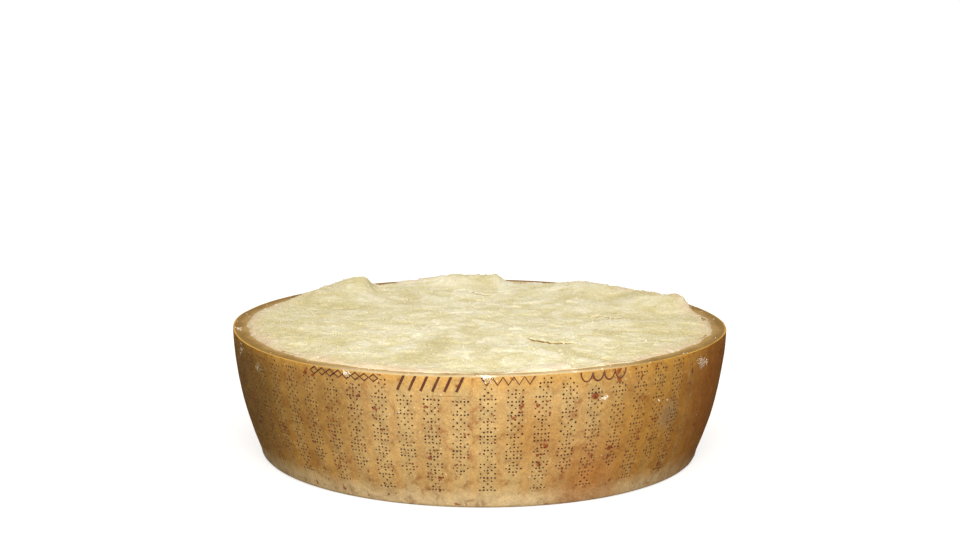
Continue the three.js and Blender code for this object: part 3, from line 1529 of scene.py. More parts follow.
@dataclass(frozen=True)
class Crack:
    """A flake that lifted along a curved split: a slot, darkened by a painted shadow bead, with a raised
    lip behind it.

    start and end are millimetres from the axis, to the right and back.
    """

    start: tuple[float, float]
    end: tuple[float, float]
    bow: float
    lip: float
    slot: float
    reach: float

    def behind(self, x: np.ndarray, y: np.ndarray) -> tuple[np.ndarray, np.ndarray]:
        """Measure each place against the split.

        Args:
            x: places across, in metres.
            y: places back, in metres.

        Returns:
            How far behind the split each place lies, and how open the split is there, 0 to 1.
        """
        start, end = np.array(self.start) * MM, np.array(self.end) * MM
        run = end - start
        length = float(np.hypot(*run))
        along = ((x - start[0]) * run[0] + (y - start[1]) * run[1]) / length**2
        behind = (run[0] * (y - start[1]) - run[1] * (x - start[0])) / length
        behind = behind - self.bow * MM * (1 - (2 * along - 1) ** 2) - 0.8 * MM * np.sin(9 * along)
        return behind, smooth_step(along, -0.1, 0.15) * smooth_step(-along, -1.15, -0.7)

    def rise(self, x: np.ndarray, y: np.ndarray) -> np.ndarray:
        """Give the height of the lip behind the split at each place.

        Args:
            x: places across, in metres.
            y: places back, in metres.

        Returns:
            The height at each place, in metres.
        """
        behind, opened = self.behind(x, y)
        fading = np.exp(-np.maximum(behind, 0) / (self.reach * MM))
        return opened * self.lip * MM * smooth_step(behind, -1.2 * MM, 1.4 * MM) * fading

    def line(self, steps: int) -> tuple[np.ndarray, np.ndarray, np.ndarray]:
        """Follow the foot of the split from end to end.

        Args:
            steps: how many places to give.

        Returns:
            The places across and back, in metres, and how open the split is at each.
        """
        along = np.linspace(-0.04, 1.04, steps)
        start, end = np.array(self.start) * MM, np.array(self.end) * MM
        run = end - start
        side = np.array([-run[1], run[0]]) / float(np.hypot(*run))
        off = self.bow * MM * (1 - (2 * along - 1) ** 2) + 0.8 * MM * np.sin(9 * along) - 0.7 * MM
        x, y = (start[k] + run[k] * along + side[k] * off for k in (0, 1))
        return x, y, smooth_step(along, -0.04, 0.12) * smooth_step(-along, -1.04, -0.55)


@dataclass(frozen=True)
class Streak:
    """A smoother, deeper band that runs outwards where the split moved fastest.

    start and end are millimetres from the axis, to the right and back; near and far are the
    band's half widths there, in millimetres.
    """

    start: tuple[float, float]
    end: tuple[float, float]
    near: float
    far: float
    strength: float

    def shade(self, x: np.ndarray, y: np.ndarray) -> np.ndarray:
        """Tell how much each place belongs to the band.

        Args:
            x: places across, in metres.
            y: places back, in metres.

        Returns:
            A share of 0 to 1 for each place.
        """
        run = np.array(self.end) * MM - np.array(self.start) * MM
        length = float(np.hypot(*run))
        from_x, from_y = x - self.start[0] * MM, y - self.start[1] * MM
        along = (from_x * run[0] + from_y * run[1]) / length**2
        across = (run[0] * from_y - run[1] * from_x) / length
        across = across + 0.25 * self.near * MM * np.sin(7 * along + self.near)
        half = (self.near + (self.far - self.near) * np.clip(along, 0, 1)) * MM
        ends = smooth_step(along, -0.12, 0.3) * smooth_step(-along, -1.15, -0.85)
        return self.strength * ends * np.exp(-((across / half) ** 4))


@dataclass
class PasteFace:
    """The broken face: a closed slab set into the ring, with its relief on top."""

    shape: WheelShape
    rings: int = 168
    overlap: float = 4 * MM
    foot: float = 7.5 * MM
    border_wander: float = 2.2 * MM
    border_crumble: float = 1.3 * MM
    lip_step: float = 1.2 * MM
    fan_centre: tuple[float, float] = (-0.05, 0.08)
    slit_steps: int = 42
    slit_half: float = 0.31 * MM
    slit_rise: float = 0.25 * MM
    flake_size: float = 19 * MM
    flake_height: float = 1.3 * MM
    streak_size: float = 13 * MM
    streak_height: float = 1.4 * MM
    grain_size: float = 4.2 * MM
    grain_height: float = 2.2 * MM
    seed: float = 3.0
    humps: tuple[Hump, ...] = (
        Hump(-0.518, 0.70, 13.9 * MM, 0.102, 0.030, 0.08),
        Hump(-0.686, 0.53, 5.5 * MM, 0.053, 0.086, 0.09),
        Hump(-0.142, 0.85, 8.7 * MM, 0.091, 0.068, 0.06),
        Hump(0.066, 0.85, 10.2 * MM, 0.114, 0.034, 0.06),
        Hump(0.411, 0.76, 4.6 * MM, 0.090, 0.058, 0.06),
        Hump(0.624, 0.66, 5.2 * MM, 0.129, 0.096, 0.06),
        Hump(0.721, 0.53, 7.9 * MM, 0.079, 0.120, 0.07),
        Hump(0.855, 0.36, 11.4 * MM, 0.153, 0.081, 0.07),
        Hump(-0.16, -0.52, 2.4 * MM, 0.20, 0.20, 0.12),
        Hump(0.46, -0.28, 2.6 * MM, 0.24, 0.24, 0.08),
        Hump(-0.46, -0.14, 2.2 * MM, 0.24, 0.24, 0.08),
        Hump(0.08, -0.26, -2.6 * MM, 0.16, 0.16, 0.12),
        Hump(-0.38, 0.18, -2.2 * MM, 0.18, 0.18, 0.10),
        Hump(0.58, 0.10, -2.4 * MM, 0.22, 0.22, 0.07),
    )
    ridges: tuple[tuple[int, float, float], ...] = (
        (7, 0.9 * MM, 0.4), (12, 0.6 * MM, 2.1), (17, 0.4 * MM, 4.4)
    )
    swells: tuple[tuple[float, float, float, float], ...] = (
        (0.68, 0.9 * MM, 25, 1.0),
        (0.43, 0.8 * MM, 100, 3.3),
        (0.28, 0.5 * MM, 160, 5.0),
    )
    streak_depth: float = 1.0 * MM
    streaks: tuple[Streak, ...] = (
        Streak((-26, -55), (-54, -189), 7, 22, 0.9),
        Streak((60, -117), (113, -173), 4, 9, 0.9),
        Streak((91, 6), (203, 19), 8, 13, 0.75),
        Streak((84, -38), (194, -60), 5, 8, 0.8),
        Streak((-74, 57), (-169, 83), 8, 14, 0.7),
        Streak((-51, 92), (-85, 148), 7, 13, 0.5),
        Streak((-128, -83), (-173, -60), 8, 14, 0.5),
        Streak((115, 98), (166, 142), 9, 16, 0.45),
    )
    cracks: tuple[Crack, ...] = (
        Crack((42, -80), (84, -106), -4, 2.8, 1.6, 9),
        Crack((-8, 136), (16, 125), -3, 1.8, 0.8, 8),
        Crack((104, 32), (138, 20), -2, 1.6, 0.65, 8),
        Crack((44, 62), (62, 52), -3, 1.6, 0.6, 7),
        Crack((-74, 2), (-52, 0), -1.5, 1.2, 0.45, 7),
        Crack((-136, -58), (-116, -74), 1.5, 1.2, 0.45, 7),
    )

    def relief(self, x: np.ndarray, y: np.ndarray) -> np.ndarray:
        """Give the face's coarse height above the cut at each place.

        Args:
            x: places across, in metres.
            y: places back, in metres.

        Returns:
            The height at each place, in metres.
        """
        radius = self.shape.cut_radius
        u, v = x / radius, y / radius
        du, dv = u - self.fan_centre[0], v - self.fan_centre[1]
        out, turn = np.hypot(du, dv), np.arctan2(dv, du)
        height = np.full(x.shape, self.lip_step)
        fan = sum(rise * np.cos(count * turn + start) for count, rise, start in self.ridges)
        height += fan * smooth_step(out, 0.06, 0.6)
        for length, rise, heading, start in self.swells:
            way = math.radians(heading)
            height += rise * np.cos(2 * math.pi * (u * math.cos(way) + v * math.sin(way)) / length + start)
        for bump in self.humps:
            height += bump.rise(u, v)
        return height - self.streak_depth * self.streaked(x, y)

    def streaked(self, x: np.ndarray, y: np.ndarray) -> np.ndarray:
        """Give how much each place belongs to any of the smooth bands, 0 to 1."""
        return np.clip(sum(streak.shade(x, y) for streak in self.streaks), 0, 1)

    def border(self, turn: np.ndarray) -> np.ndarray:
        """Find where the broken paste ends on the scored ring.

        Args:
            turn: bearings, in radians.

        Returns:
            The ragged radius at each bearing, in metres.
        """
        ragged = [
            self.border_wander * noise.fractal(Vector((math.cos(t) * 8, math.sin(t) * 8, 2.7)), 0.8, 2.1, 3)
            + self.border_crumble * noise.noise(Vector((math.cos(t) * 55, math.sin(t) * 55, 6.1)))
            for t in turn
        ]
        return self.shape.cut_radius - self.shape.ring_width + np.array(ragged)

    def slits(self, first: int) -> tuple[np.ndarray, list[tuple[int, ...]]]:
        """Lay a thin closed dark bead in the foot of each split, a painted shadow for its inside.

        Args:
            first: the number of the first point.

        Returns:
            The points and the faces.
        """
        shape, steps = self.shape, self.slit_steps
        points, faces = [], []
        for crack in self.cracks:
            x, y, opened = crack.line(steps)
            flat = np.full(x.shape, shape.cut_height)
            lips = sum(other.rise(x, y) for other in self.cracks)
            z = flat + shape.lift(x, y, flat) + self.relief(x, y) + lips + self.slit_rise
            half = self.slit_half * crack.slot**1.6 * opened
            start = first + len(points)
            points.append((x[0], y[0], z[0] - self.slit_rise))
            for k in range(1, steps - 1):
                for back, up in ((-1, 0), (0, -1), (1, 0), (0, 1)):
                    points.append((x[k], y[k] + back * half[k] * 1.6, z[k] + up * half[k]))
            points.append((x[-1], y[-1], z[-1] - self.slit_rise))
            end = first + len(points) - 1
            for side in range(4):
                beside = (side + 1) % 4
                faces.append((start, start + 1 + beside, start + 1 + side))
                for k in range(steps - 3):
                    near, far = start + 1 + 4 * k, start + 5 + 4 * k
                    faces.append((near + side, near + beside, far + beside, far + side))
                faces.append((end, end - 4 + side, end - 4 + beside))
        return np.array(points), faces

    def blank(self, finishes: list[bpy.types.Material]) -> bpy.types.Mesh:
        """Make the slab with its coarse relief, and what the fine relief needs to know.

        Args:
            finishes: the paste's material and then the splits' painted shadow.

        Returns:
            A closed mesh whose top is an even net of small triangles.
        """
        shape, n = self.shape, self.rings
        outer = shape.cut_radius - shape.ring_width + self.overlap
        ring_of = np.concatenate([[0], *[np.full(6 * k, k) for k in range(1, n + 1)]])
        step_of = np.concatenate([[0], *[np.arange(6 * k) for k in range(1, n + 1)]])
        turn = step_of * 2 * math.pi / np.maximum(6 * ring_of, 1)
        radius = outer * ring_of / n
        x, y = radius * np.cos(turn), radius * np.sin(turn)
        samples = np.linspace(0, 2 * math.pi, 1441)
        edge = np.interp(turn, samples, self.border(samples))
        inside = smooth_step(edge - radius, -0.5 * MM, 4.5 * MM)
        cracks = sum(c.rise(x, y) for c in self.cracks)
        skirt = 0.6 * MM - 2.4 * MM * smooth_step(radius - edge, -0.6 * MM, 1.6 * MM)
        height = (self.relief(x, y) + cracks) * inside + skirt * (1 - inside)
        flat = np.full(x.shape, shape.cut_height)
        top = np.stack([x, y, flat + shape.lift(x, y, flat) + height], axis=1)
        last = 1 + 3 * n * (n - 1)
        foot = top[last:].copy()
        foot[:, 2] = shape.cut_height - self.foot
        points = np.vstack([top, foot, [[0, 0, shape.cut_height - self.foot]]])
        slits, slit_faces = self.slits(len(points))
        faces: list[tuple[int, ...]] = []
        start = [0] + [1 + 3 * k * (k - 1) for k in range(1, n + 1)]
        for k in range(n):
            near, far, near_count, far_count = start[k], start[k + 1], max(6 * k, 1), 6 * (k + 1)
            for side in range(6):
                for i in range(k + 1):
                    a = near + (side * k + i) % near_count
                    b = far + (side * (k + 1) + i) % far_count
                    c = far + (side * (k + 1) + i + 1) % far_count
                    faces.append((a, b, c))
                    if i < k:
                        faces.append((a, c, near + (side * k + i + 1) % near_count))
        rim, centre = 6 * n, len(points) - 1
        for i in range(rim):
            j = (i + 1) % rim
            faces.append((last + j, last + i, len(top) + i, len(top) + j))
            faces.append((len(top) + j, len(top) + i, centre))
        mesh = bpy.data.meshes.new("paste blank")
        mesh.from_pydata([*points.tolist(), *slits.tolist()], [], [*faces, *slit_faces])
        for material in finishes:
            mesh.materials.append(material)
        mesh.polygons.foreach_set("material_index", [0] * len(faces) + [1] * len(slit_faces))
        pad = len(points) - len(top)
        x, y = np.concatenate([x, slits[:, 0]]), np.concatenate([y, slits[:, 1]])
        fx, fy = x - self.fan_centre[0] * shape.cut_radius, y - self.fan_centre[1] * shape.cut_radius
        # The bearing is kept as a place on a drum, so that streaks have no seam.
        out, way, drum = np.hypot(fx, fy), np.arctan2(fy, fx), 0.5 * shape.cut_radius
        fan = np.stack([drum * np.cos(way), drum * np.sin(way), out], axis=1)
        count = len(top)
        fan = np.vstack([fan[:count], np.zeros((pad, 3)), fan[count:]])
        inside = np.concatenate([inside, np.zeros(pad), np.ones(len(slits))])
        banded = self.streaked(x, y)
        banded = np.concatenate([banded[:count], np.zeros(pad), banded[count:]])
        mesh.attributes.new("inside", "FLOAT", "POINT").data.foreach_set("value", inside)
        mesh.attributes.new("banded", "FLOAT", "POINT").data.foreach_set("value", banded)
        mesh.attributes.new("fan", "FLOAT_VECTOR", "POINT").data.foreach_set("vector", fan.ravel())
        return mesh

    def breaking_tree(self) -> bpy.types.NodeTree:
        """Build the tree that raises flakes, streaks and grain on the blank.

        Returns:
            The tree.
        """
        tree, given = new_tree(
            "broken relief",
            {
                "Flake Size": "NodeSocketFloat",
                "Flake Height": "NodeSocketFloat",
                "Streak Size": "NodeSocketFloat",
                "Streak Height": "NodeSocketFloat",
                "Grain Size": "NodeSocketFloat",
                "Grain Height": "NodeSocketFloat",
                "Seed": "NodeSocketFloat",
            },
        )
        inside = add(
            tree, "GeometryNodeInputNamedAttribute", {"Name": "inside"}, data_type="FLOAT"
        ).outputs["Attribute"]
        fan = add(
            tree, "GeometryNodeInputNamedAttribute", {"Name": "fan"}, data_type="FLOAT_VECTOR"
        ).outputs["Attribute"]
        here = add(tree, "GeometryNodeInputPosition")
        flat = add(
            tree,
            "ShaderNodeVectorMath",
            {"Vector": here, "Vector_001": (1.0, 1.0, 0.0)},
            operation="MULTIPLY",
        )
        shift = add(tree, "ShaderNodeCombineXYZ", {"Z": given.outputs["Seed"]})
        flat = add(tree, "ShaderNodeVectorMath", {"Vector": flat, "Vector_001": shift}, operation="ADD")
        total: bpy.types.Node | None = None
        # Tilted, ragged plates at three sizes: each Voronoi cell is one facet of the break.
        for share, high, ragged in ((1.0, 1.0, 0.35), (0.42, 0.5, 0.45), (0.16, 0.26, 0.5)):
            size = add(
                tree,
                "ShaderNodeMath",
                {"Value": given.outputs["Flake Size"], "Value_001": share},
                operation="MULTIPLY",
            )
            scale = add(tree, "ShaderNodeMath", {"Value": 1.0, "Value_001": size}, operation="DIVIDE")
            rough = add(
                tree,
                "ShaderNodeTexNoise",
                {"Vector": flat, "Scale": scale, "Detail": 3.0, "Roughness": 0.6},
            )
            swing = add(
                tree,
                "ShaderNodeVectorMath",
                {"Vector": rough.outputs["Color"], "Vector_001": (0.5, 0.5, 0.5)},
                operation="SUBTRACT",
            )
            reach = add(
                tree, "ShaderNodeMath", {"Value": size, "Value_001": 2 * ragged}, operation="MULTIPLY"
            )
            swing = add(tree, "ShaderNodeVectorMath", {"Vector": swing, "Scale": reach}, operation="SCALE")
            place = add(
                tree, "ShaderNodeVectorMath", {"Vector": flat, "Vector_001": swing}, operation="ADD"
            )
            plates = add(tree, "ShaderNodeTexVoronoi", {"Vector": place, "Scale": scale})
            tilt = add(
                tree,
                "ShaderNodeVectorMath",
                {"Vector": plates.outputs["Color"], "Vector_001": (0.5, 0.5, 0.5)},
                operation="SUBTRACT",
            )
            offset = add(
                tree,
                "ShaderNodeVectorMath",
                {"Vector": place, "Vector_001": plates.outputs["Position"]},
                operation="SUBTRACT",
            )
            offset = add(
                tree, "ShaderNodeVectorMath", {"Vector": offset, "Scale": scale}, operation="SCALE"
            )
            slope = add(
                tree,
                "ShaderNodeVectorMath",
                {"Vector": tilt, "Vector_001": offset},
                operation="DOT_PRODUCT",
            ).outputs["Value"]
            level = add(tree, "ShaderNodeSeparateXYZ", {"Vector": tilt}).outputs["Z"]
            plate = add(
                tree,
                "ShaderNodeMath",
                {"Value": slope, "Value_001": 1.6, "Value_002": level},
                operation="MULTIPLY_ADD",
            )
            high = add(
                tree,
                "ShaderNodeMath",
                {"Value": given.outputs["Flake Height"], "Value_001": high},
                operation="MULTIPLY",
            )
            links = {"Value": plate, "Value_001": high, "Value_002": total if total else 0.0}
            total = add(tree, "ShaderNodeMath", links, operation="MULTIPLY_ADD")
        stretched = add(
            tree,
            "ShaderNodeVectorMath",
            {"Vector": fan, "Vector_001": (1.0, 1.0, 0.28)},
            operation="MULTIPLY",
        )
        per_streak = add(
            tree,
            "ShaderNodeMath",
            {"Value": 1.0, "Value_001": given.outputs["Streak Size"]},
            operation="DIVIDE",
        )
        streaks = add(
            tree,
            "ShaderNodeTexNoise",
            {"Vector": stretched, "Scale": per_streak, "Detail": 5.0, "Roughness": 0.62},
        )
        grains_per = add(
            tree,
            "ShaderNodeMath",
            {"Value": 1.0, "Value_001": given.outputs["Grain Size"]},
            operation="DIVIDE",
        )
        grains = add(
            tree,
            "ShaderNodeTexNoise",
            {"Vector": flat, "Scale": grains_per, "Detail": 2.0, "Roughness": 0.75},
        )
        for field_node, height in ((streaks, "Streak Height"), (grains, "Grain Height")):
            centred = add(
                tree, "ShaderNodeMath", {"Value": field_node, "Value_001": 0.5}, operation="SUBTRACT"
            )
            links = {"Value": centred, "Value_001": given.outputs[height], "Value_002": total}
            total = add(tree, "ShaderNodeMath", links, operation="MULTIPLY_ADD")
        raised = add(tree, "ShaderNodeMath", {"Value": total, "Value_001": inside}, operation="MULTIPLY")
        up = add(tree, "ShaderNodeCombineXYZ", {"Z": raised})
        known = add(
            tree,
            "GeometryNodeStoreNamedAttribute",
            {"Geometry": given.outputs["Geometry"], "Name": "relief", "Value": raised},
            data_type="FLOAT",
        )
        broken = add(tree, "GeometryNodeSetPosition", {"Geometry": known, "Offset": up})
        add(tree, "NodeGroupOutput", {"Geometry": broken})
        return tree

    def build(self) -> bpy.types.Object:
        """Make the broken face and put it in the frame.

        Returns:
            The broken face as one piece.
        """
        host = new_object(
            "paste blank", self.blank([BrokenPaste(self.shape.cut_radius).build(), SplitShadow().build()])
        )
        values = {
            "Flake Size": self.flake_size,
            "Flake Height": self.flake_height,
            "Streak Size": self.streak_size,
            "Streak Height": self.streak_height,
            "Grain Size": self.grain_size,
            "Grain Height": self.grain_height,
            "Seed": self.seed,
        }
        mesh = grow(host, self.breaking_tree(), values)
        mesh.shade_smooth()
        mesh.name = "broken_paste"
        paste = new_object("broken_paste", mesh)
        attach(paste, BODY)
        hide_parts(CAD_NODE)
        return paste


@dataclass
class PasteGrains:
    """Hard little grains of paste that stand half out of the broken face all over."""

    per_square_metre: float = 34000.0
    smallest: float = 0.35 * MM
    largest: float = 1.15 * MM
    clear: float = 0.6
    white_share: float = 0.05
    seed: int = 8

    def tree(self, finish: bpy.types.Material, white: bpy.types.Material) -> bpy.types.NodeTree:
        """Build the tree that sows grains on the face it is given.

        Args:
            finish: the finish of most grains, the paste's own.
            white: the finish of the few dry ones.

        Returns:
            The tree.
        """
        tree, given = new_tree(
            "half-sunk grains",
            {
                "Per Square Metre": "NodeSocketFloat",
                "Smallest": "NodeSocketFloat",
                "Largest": "NodeSocketFloat",
                "Clear": "NodeSocketFloat",
                "White Share": "NodeSocketFloat",
                "Seed": "NodeSocketInt",
            },
        )
        inside = add(
            tree, "GeometryNodeInputNamedAttribute", {"Name": "inside"}, data_type="FLOAT"
        ).outputs["Attribute"]
        kept = add(
            tree,
            "FunctionNodeCompare",
            {"A": inside, "B": given.outputs["Clear"]},
            operation="GREATER_THAN",
            data_type="FLOAT",
        )
        spots = add(
            tree,
            "GeometryNodeDistributePointsOnFaces",
            {
                "Mesh": given.outputs["Geometry"],
                "Selection": kept,
                "Density": given.outputs["Per Square Metre"],
                "Seed": given.outputs["Seed"],
            },
        )
        grain = add(tree, "GeometryNodeMeshIcoSphere", {"Radius": 1.0, "Subdivisions": 1}).outputs["Mesh"]
        turned = add(
            tree,
            "FunctionNodeRandomValue",
            {"Max": (6.28, 6.28, 6.28), "Seed": given.outputs["Seed"]},
            data_type="FLOAT_VECTOR",
        )
        lot = add(
            tree, "FunctionNodeRandomValue", {"Seed": given.outputs["Seed"]}, data_type="FLOAT"
        ).outputs["Value"]
        lot = add(tree, "ShaderNodeMath", {"Value": lot, "Value_001": 2.2}, operation="POWER")
        size = add(
            tree,
            "ShaderNodeMapRange",
            {"Value": lot, "To Min": given.outputs["Smallest"], "To Max": given.outputs["Largest"]},
        )
        shaped = add(
            tree,
            "FunctionNodeRandomValue",
            {"Min": (0.7, 0.7, 0.5), "Max": (1.4, 1.1, 0.9), "Seed": given.outputs["Seed"]},
            data_type="FLOAT_VECTOR",
        )
        scale = add(tree, "ShaderNodeVectorMath", {"Vector": shaped, "Scale": size}, operation="SCALE")
        draw = add(
            tree,
            "FunctionNodeRandomValue",
            {"Probability": given.outputs["White Share"], "Seed": given.outputs["Seed"]},
            data_type="BOOLEAN",
        )
        marked = add(
            tree,
            "GeometryNodeStoreNamedAttribute",
            {"Geometry": spots.outputs["Points"], "Name": "white", "Value": draw},
            data_type="BOOLEAN",
        )
        sown = add(
            tree,
            "GeometryNodeInstanceOnPoints",
            {"Points": marked, "Instance": grain, "Rotation": turned, "Scale": scale},
        )
        real = add(tree, "GeometryNodeRealizeInstances", {"Geometry": sown})
        chosen = add(
            tree, "GeometryNodeInputNamedAttribute", {"Name": "white"}, data_type="BOOLEAN"
        ).outputs["Attribute"]
        real = add(tree, "GeometryNodeSetMaterial", {"Geometry": real, "Material": finish})
        real = add(
            tree, "GeometryNodeSetMaterial", {"Geometry": real, "Selection": chosen, "Material": white}
        )
        add(tree, "NodeGroupOutput", {"Geometry": real})
        return tree

    def build(self, face: bpy.types.Object) -> bpy.types.Object:
        """Sow the grains on the broken face and put them in the frame.

        Args:
            face: the finished broken face.

        Returns:
            The grains as one piece.
        """
        host = new_object("grain ground", face.data.copy())
        values = {
            "Per Square Metre": self.per_square_metre,
            "Smallest": self.smallest,
            "Largest": self.largest,
            "Clear": self.clear,
            "White Share": self.white_share,
            "Seed": self.seed,
        }
        mesh = grow(host, self.tree(face.data.materials[0], DryCrumb().build()), values)
        mesh.shade_smooth()
        mesh.name = "paste_grains"
        grains = new_object("paste_grains", mesh)
        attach(grains, BODY)
        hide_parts(CAD_NODE)
        return grains


# ---- Crumbs -------------------------------------------------------------------------------


@dataclass(frozen=True)
class Smear:
    """A cluster of dry grains stuck on the ring or the rind.

    depth is millimetres below the cut; a negative one lies on the ring, that far in.
    """

    bearing: float
    depth: float
    wide: float
    grains: int
    size: float = 0.9


@dataclass
class Crumbs:
    """Loose grains left by the breaking, on the ring and clinging to the rind."""

    shape: WheelShape
    strewn: int = 80
    grain_size: float = 0.9 * MM
    seed: int = 5
    smears: tuple[Smear, ...] = (
        Smear(-88.0, -1.0, 8.5, 110, 1.05),
        Smear(-88.3, 1.2, 7.0, 46, 0.8),
        Smear(-119.0, 2.0, 5.0, 36, 0.8),
        Smear(-69.5, -3.0, 3.0, 8, 0.8),
        Smear(-38.5, -3.0, 2.0, 5, 0.8),
        Smear(-33.0, 9.0, 8.0, 70, 0.4),
        Smear(-30.0, 12.0, 8.0, 60, 0.4),
        Smear(-47.4, 33.5, 2.2, 9, 0.6),
        Smear(-44.4, 35.0, 1.6, 6, 0.7),
        Smear(-62.7, 23.0, 4.0, 26, 0.7),
        Smear(-98.0, 14.5, 1.6, 6, 0.6),
        Smear(-107.0, 31.0, 1.6, 6, 0.6),
        Smear(-148.0, 16.0, 7.0, 20, 0.4),
        Smear(-158.0, 8.0, 9.0, 40, 0.45),
        Smear(-170.0, -5.0, 6.0, 26, 0.7),
    )

    def places(self) -> bpy.types.Mesh:
        """Lay out every grain.

        Returns:
            Loose points, each with a size.
        """
        chance = np.random.default_rng(self.seed)
        shape = self.shape
        points, sizes = [], []
        for _ in range(self.strewn):
            bearing = chance.uniform(0, 2 * math.pi)
            radius = shape.cut_radius - abs(chance.normal(0.6, 0.45)) * shape.ring_width
            x, y = radius * math.cos(bearing), radius * math.sin(bearing)
            lift = float(shape.lift(np.array(x), np.array(y), np.array(shape.cut_height)))
            size = float(np.clip(chance.lognormal(-0.45, 0.35), 0.3, 1.4))
            points.append((x, y, shape.cut_height + lift + 0.2 * size * MM))
            sizes.append(size)
        for smear in self.smears:
            for _ in range(smear.grains):
                across, down = chance.normal(0, smear.wide / 2.4, 2) * MM
                bearing = math.radians(smear.bearing) + across / shape.cut_radius
                size = float(smear.size * np.clip(chance.normal(0.75, 0.3), 0.3, 1.3))
                if smear.depth < 0:
                    radius = min(
                        shape.cut_radius + (smear.depth * MM) + down * 0.5, shape.cut_radius - 0.2 * MM
                    )
                    x, y = radius * math.cos(bearing), radius * math.sin(bearing)
                    lift = float(shape.lift(np.array(x), np.array(y), np.array(shape.cut_height)))
                    points.append((x, y, shape.cut_height + lift + 0.25 * size * MM))
                else:
                    depth = max(smear.depth * MM + down * 0.6, 0.3 * MM)
                    place = shape.place_on_side(np.array(bearing), np.array(depth))
                    points.append(
                        tuple(place + np.array([math.cos(bearing), math.sin(bearing), 0]) * 0.1 * MM)
                    )
                sizes.append(size)
        mesh = bpy.data.meshes.new("crumb places")
        mesh.from_pydata(points, [], [])
        mesh.attributes.new("size", "FLOAT", "POINT").data.foreach_set("value", sizes)
        return mesh

    def crumb_tree(self, finish: bpy.types.Material) -> bpy.types.NodeTree:
        """Build the tree that puts a small angular grain on every point.

        Args:
            finish: the grains' finish.

        Returns:
            The tree.
        """
        tree, given = new_tree("crumb grains", {"Grain Size": "NodeSocketFloat", "Seed": "NodeSocketInt"})
        grain = add(
            tree, "GeometryNodeMeshIcoSphere", {"Radius": given.outputs["Grain Size"], "Subdivisions": 1}
        ).outputs["Mesh"]
        size = add(
            tree, "GeometryNodeInputNamedAttribute", {"Name": "size"}, data_type="FLOAT"
        ).outputs["Attribute"]
        turned = add(
            tree,
            "FunctionNodeRandomValue",
            {"Max": (6.28, 6.28, 6.28), "Seed": given.outputs["Seed"]},
            data_type="FLOAT_VECTOR",
        )
        shaped = add(
            tree,
            "FunctionNodeRandomValue",
            {"Min": (0.5, 0.5, 0.35), "Max": (1.3, 1.1, 0.8), "Seed": given.outputs["Seed"]},
            data_type="FLOAT_VECTOR",
        )
        scale = add(tree, "ShaderNodeVectorMath", {"Vector": shaped, "Scale": size}, operation="SCALE")
        strewn = add(
            tree,
            "GeometryNodeInstanceOnPoints",
            {"Points": given.outputs["Geometry"], "Instance": grain, "Rotation": turned, "Scale": scale},
        )
        real = add(tree, "GeometryNodeRealizeInstances", {"Geometry": strewn})
        real = add(tree, "GeometryNodeSetMaterial", {"Geometry": real, "Material": finish})
        add(tree, "NodeGroupOutput", {"Geometry": real})
        return tree

    def build(self) -> bpy.types.Object:
        """Make the crumbs and put them in the frame.

        Returns:
            The crumbs as one piece.
        """
        host = new_object("crumb places", self.places())
        mesh = grow(
            host, self.crumb_tree(DryCrumb().build()), {"Grain Size": self.grain_size, "Seed": self.seed}
        )
        mesh.name = "crumbs"
        crumbs = new_object("crumbs", mesh)
        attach(crumbs, BODY)
        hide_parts(CAD_NODE)
        return crumbs


# ---- Floor, light and camera --------------------------------------------------------------


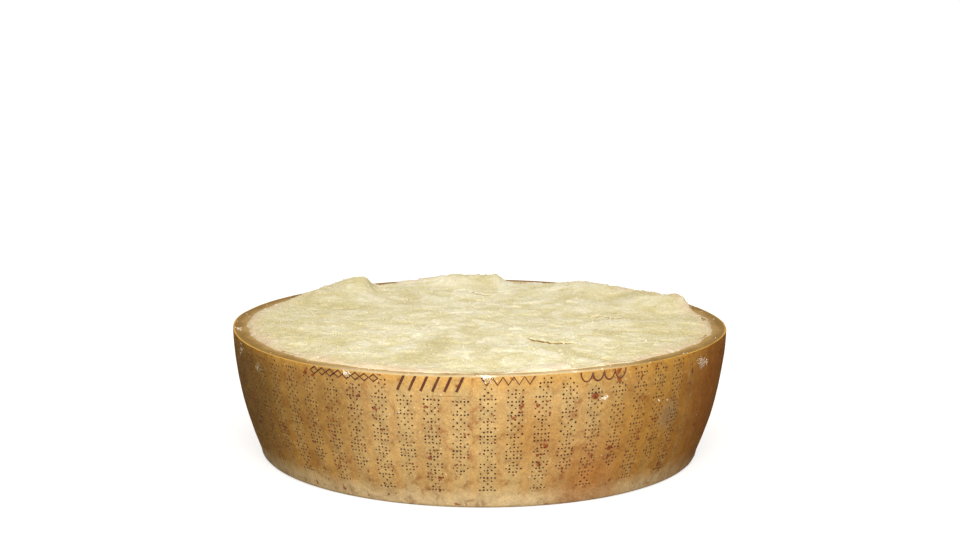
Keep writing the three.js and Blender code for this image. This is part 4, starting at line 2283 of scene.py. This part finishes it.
@dataclass
class Studio:
    """A pale floor that meets a pale surround, an overhead softbox and a near frontal one."""

    shape: WheelShape
    floor_half: float = 60.0
    distance_radii: float = 7.7612
    elevation: float = 13.3692
    aim_up: float = 3.4506
    roll: float = 0.387
    lens: float = 70.6
    overhead: float = 0.87
    surround: float = 0.12
    overhead_spread: float = 75.0
    overhead_tilt: float = 18.0
    key_power: float = 2.6
    key_size: float = 0.3
    key_place: tuple[float, float, float] = (0.03, -0.78, 0.32)
    floor_glow: float = 0.72
    floor_shown: str = "#b4b0aa"
    floor_bounce: str = "#cfc9bc"
    floor_gloss: str = "#4a4642"
    white: str = "#ffffff"
    sensor_width: float = 36.0
    clip_end: float = 500.0

    def floor(self) -> bpy.types.Object:
        """Lay the floor.

        Returns:
            The floor.
        """
        half = self.floor_half
        corners = [(-half, -half, 0), (half, -half, 0), (half, half, 0), (-half, half, 0)]
        mesh = bpy.data.meshes.new("floor")
        mesh.from_pydata(corners, [], [(0, 1, 2, 3)])
        material, tree = new_material("pale floor")
        # The floor shows nearly white, lights the rind from below as a mid grey would, and is
        # dark in its gloss, as if dark cards stood round it out of view.
        ray = add(tree, "ShaderNodeLightPath")
        lit = add(tree, "ShaderNodeBsdfDiffuse", {"Color": linear(self.floor_shown)})
        glow = add(tree, "ShaderNodeEmission", {"Color": linear(self.white), "Strength": self.floor_glow})
        shown = add(tree, "ShaderNodeAddShader", {"Shader": lit, "Shader_001": glow})
        bounce = add(tree, "ShaderNodeBsdfDiffuse", {"Color": linear(self.floor_bounce)})
        gloss = add(tree, "ShaderNodeBsdfDiffuse", {"Color": linear(self.floor_gloss)})
        mixed = add(
            tree,
            "ShaderNodeMixShader",
            {"Fac": ray.outputs["Is Glossy Ray"], "Shader": bounce, "Shader_001": gloss},
        )
        mixed = add(
            tree,
            "ShaderNodeMixShader",
            {"Fac": ray.outputs["Is Camera Ray"], "Shader": mixed, "Shader_001": shown},
        )
        add(tree, "ShaderNodeOutputMaterial", {"Surface": mixed})
        mesh.materials.append(material)
        floor = new_object("floor", mesh)
        return floor

    def lights(self) -> None:
        """Hang the lights and set the surround."""
        world = bpy.data.worlds.new("pale surround")
        world.use_nodes = True
        world.node_tree.nodes["Background"].inputs["Color"].default_value = linear(self.white)
        world.node_tree.nodes["Background"].inputs["Strength"].default_value = self.surround
        bpy.context.scene.world = world
        sun = bpy.data.lights.new("overhead softbox", "SUN")
        sun.energy = self.overhead * math.pi
        sun.angle = math.radians(self.overhead_spread)
        overhead = bpy.data.objects.new("overhead softbox", sun)
        overhead.rotation_euler = (math.radians(self.overhead_tilt), 0, 0)
        near = bpy.data.lights.new("near frontal softbox", "AREA")
        near.shape = "DISK"
        near.size = self.key_size
        near.energy = self.key_power
        key = bpy.data.objects.new("near frontal softbox", near)
        key.location = self.key_place
        aim = Vector((0, 0, self.shape.cut_height / 2)) - key.location
        key.rotation_euler = aim.to_track_quat("-Z", "Y").to_euler()
        key.visible_camera = False
        for light in (overhead, key):
            bpy.context.scene.collection.objects.link(light)

    def camera(self) -> None:
        """Stand the camera in front, a little above the cut."""
        data = bpy.data.cameras.new("camera")
        data.sensor_width = self.sensor_width
        data.lens = self.lens
        data.clip_end = self.clip_end
        camera = bpy.data.objects.new("camera", data)
        distance = self.distance_radii * self.shape.cut_radius
        down = math.radians(self.elevation)
        middle = self.shape.cut_height / 2
        stand = Vector((0, -distance * math.cos(down), middle + distance * math.sin(down)))
        pitch = math.radians(self.aim_up - self.elevation)
        ahead = Vector((0, math.cos(pitch), math.sin(pitch)))
        look = ahead.to_track_quat("-Z", "Y").to_matrix().to_4x4()
        roll = Matrix.Rotation(math.radians(self.roll), 4, "Z")
        camera.matrix_world = Matrix.Translation(stand) @ look @ roll
        bpy.context.scene.collection.objects.link(camera)
        bpy.context.scene.camera = camera

    def build(self) -> None:
        """Set up the floor, the lights, the camera and a plain view transform."""
        self.floor()
        self.lights()
        self.camera()
        bpy.context.scene.view_settings.view_transform = "Standard"


def main() -> None:
    """Build every piece in order and report it."""
    logging.basicConfig(level=logging.INFO, format="%(name)s: %(message)s")
    shape = WheelShape.from_cad()
    rind, face = Rind(shape).build(), PasteFace(shape).build()
    for piece in (rind, face, PasteGrains().build(face), Crumbs(shape).build()):
        triangles = sum(len(polygon.vertices) - 2 for polygon in piece.data.polygons)
        LOG.info("%s: %d triangles", piece.name, triangles)
    Studio(shape).build()


if __name__ == "__main__":
    main()
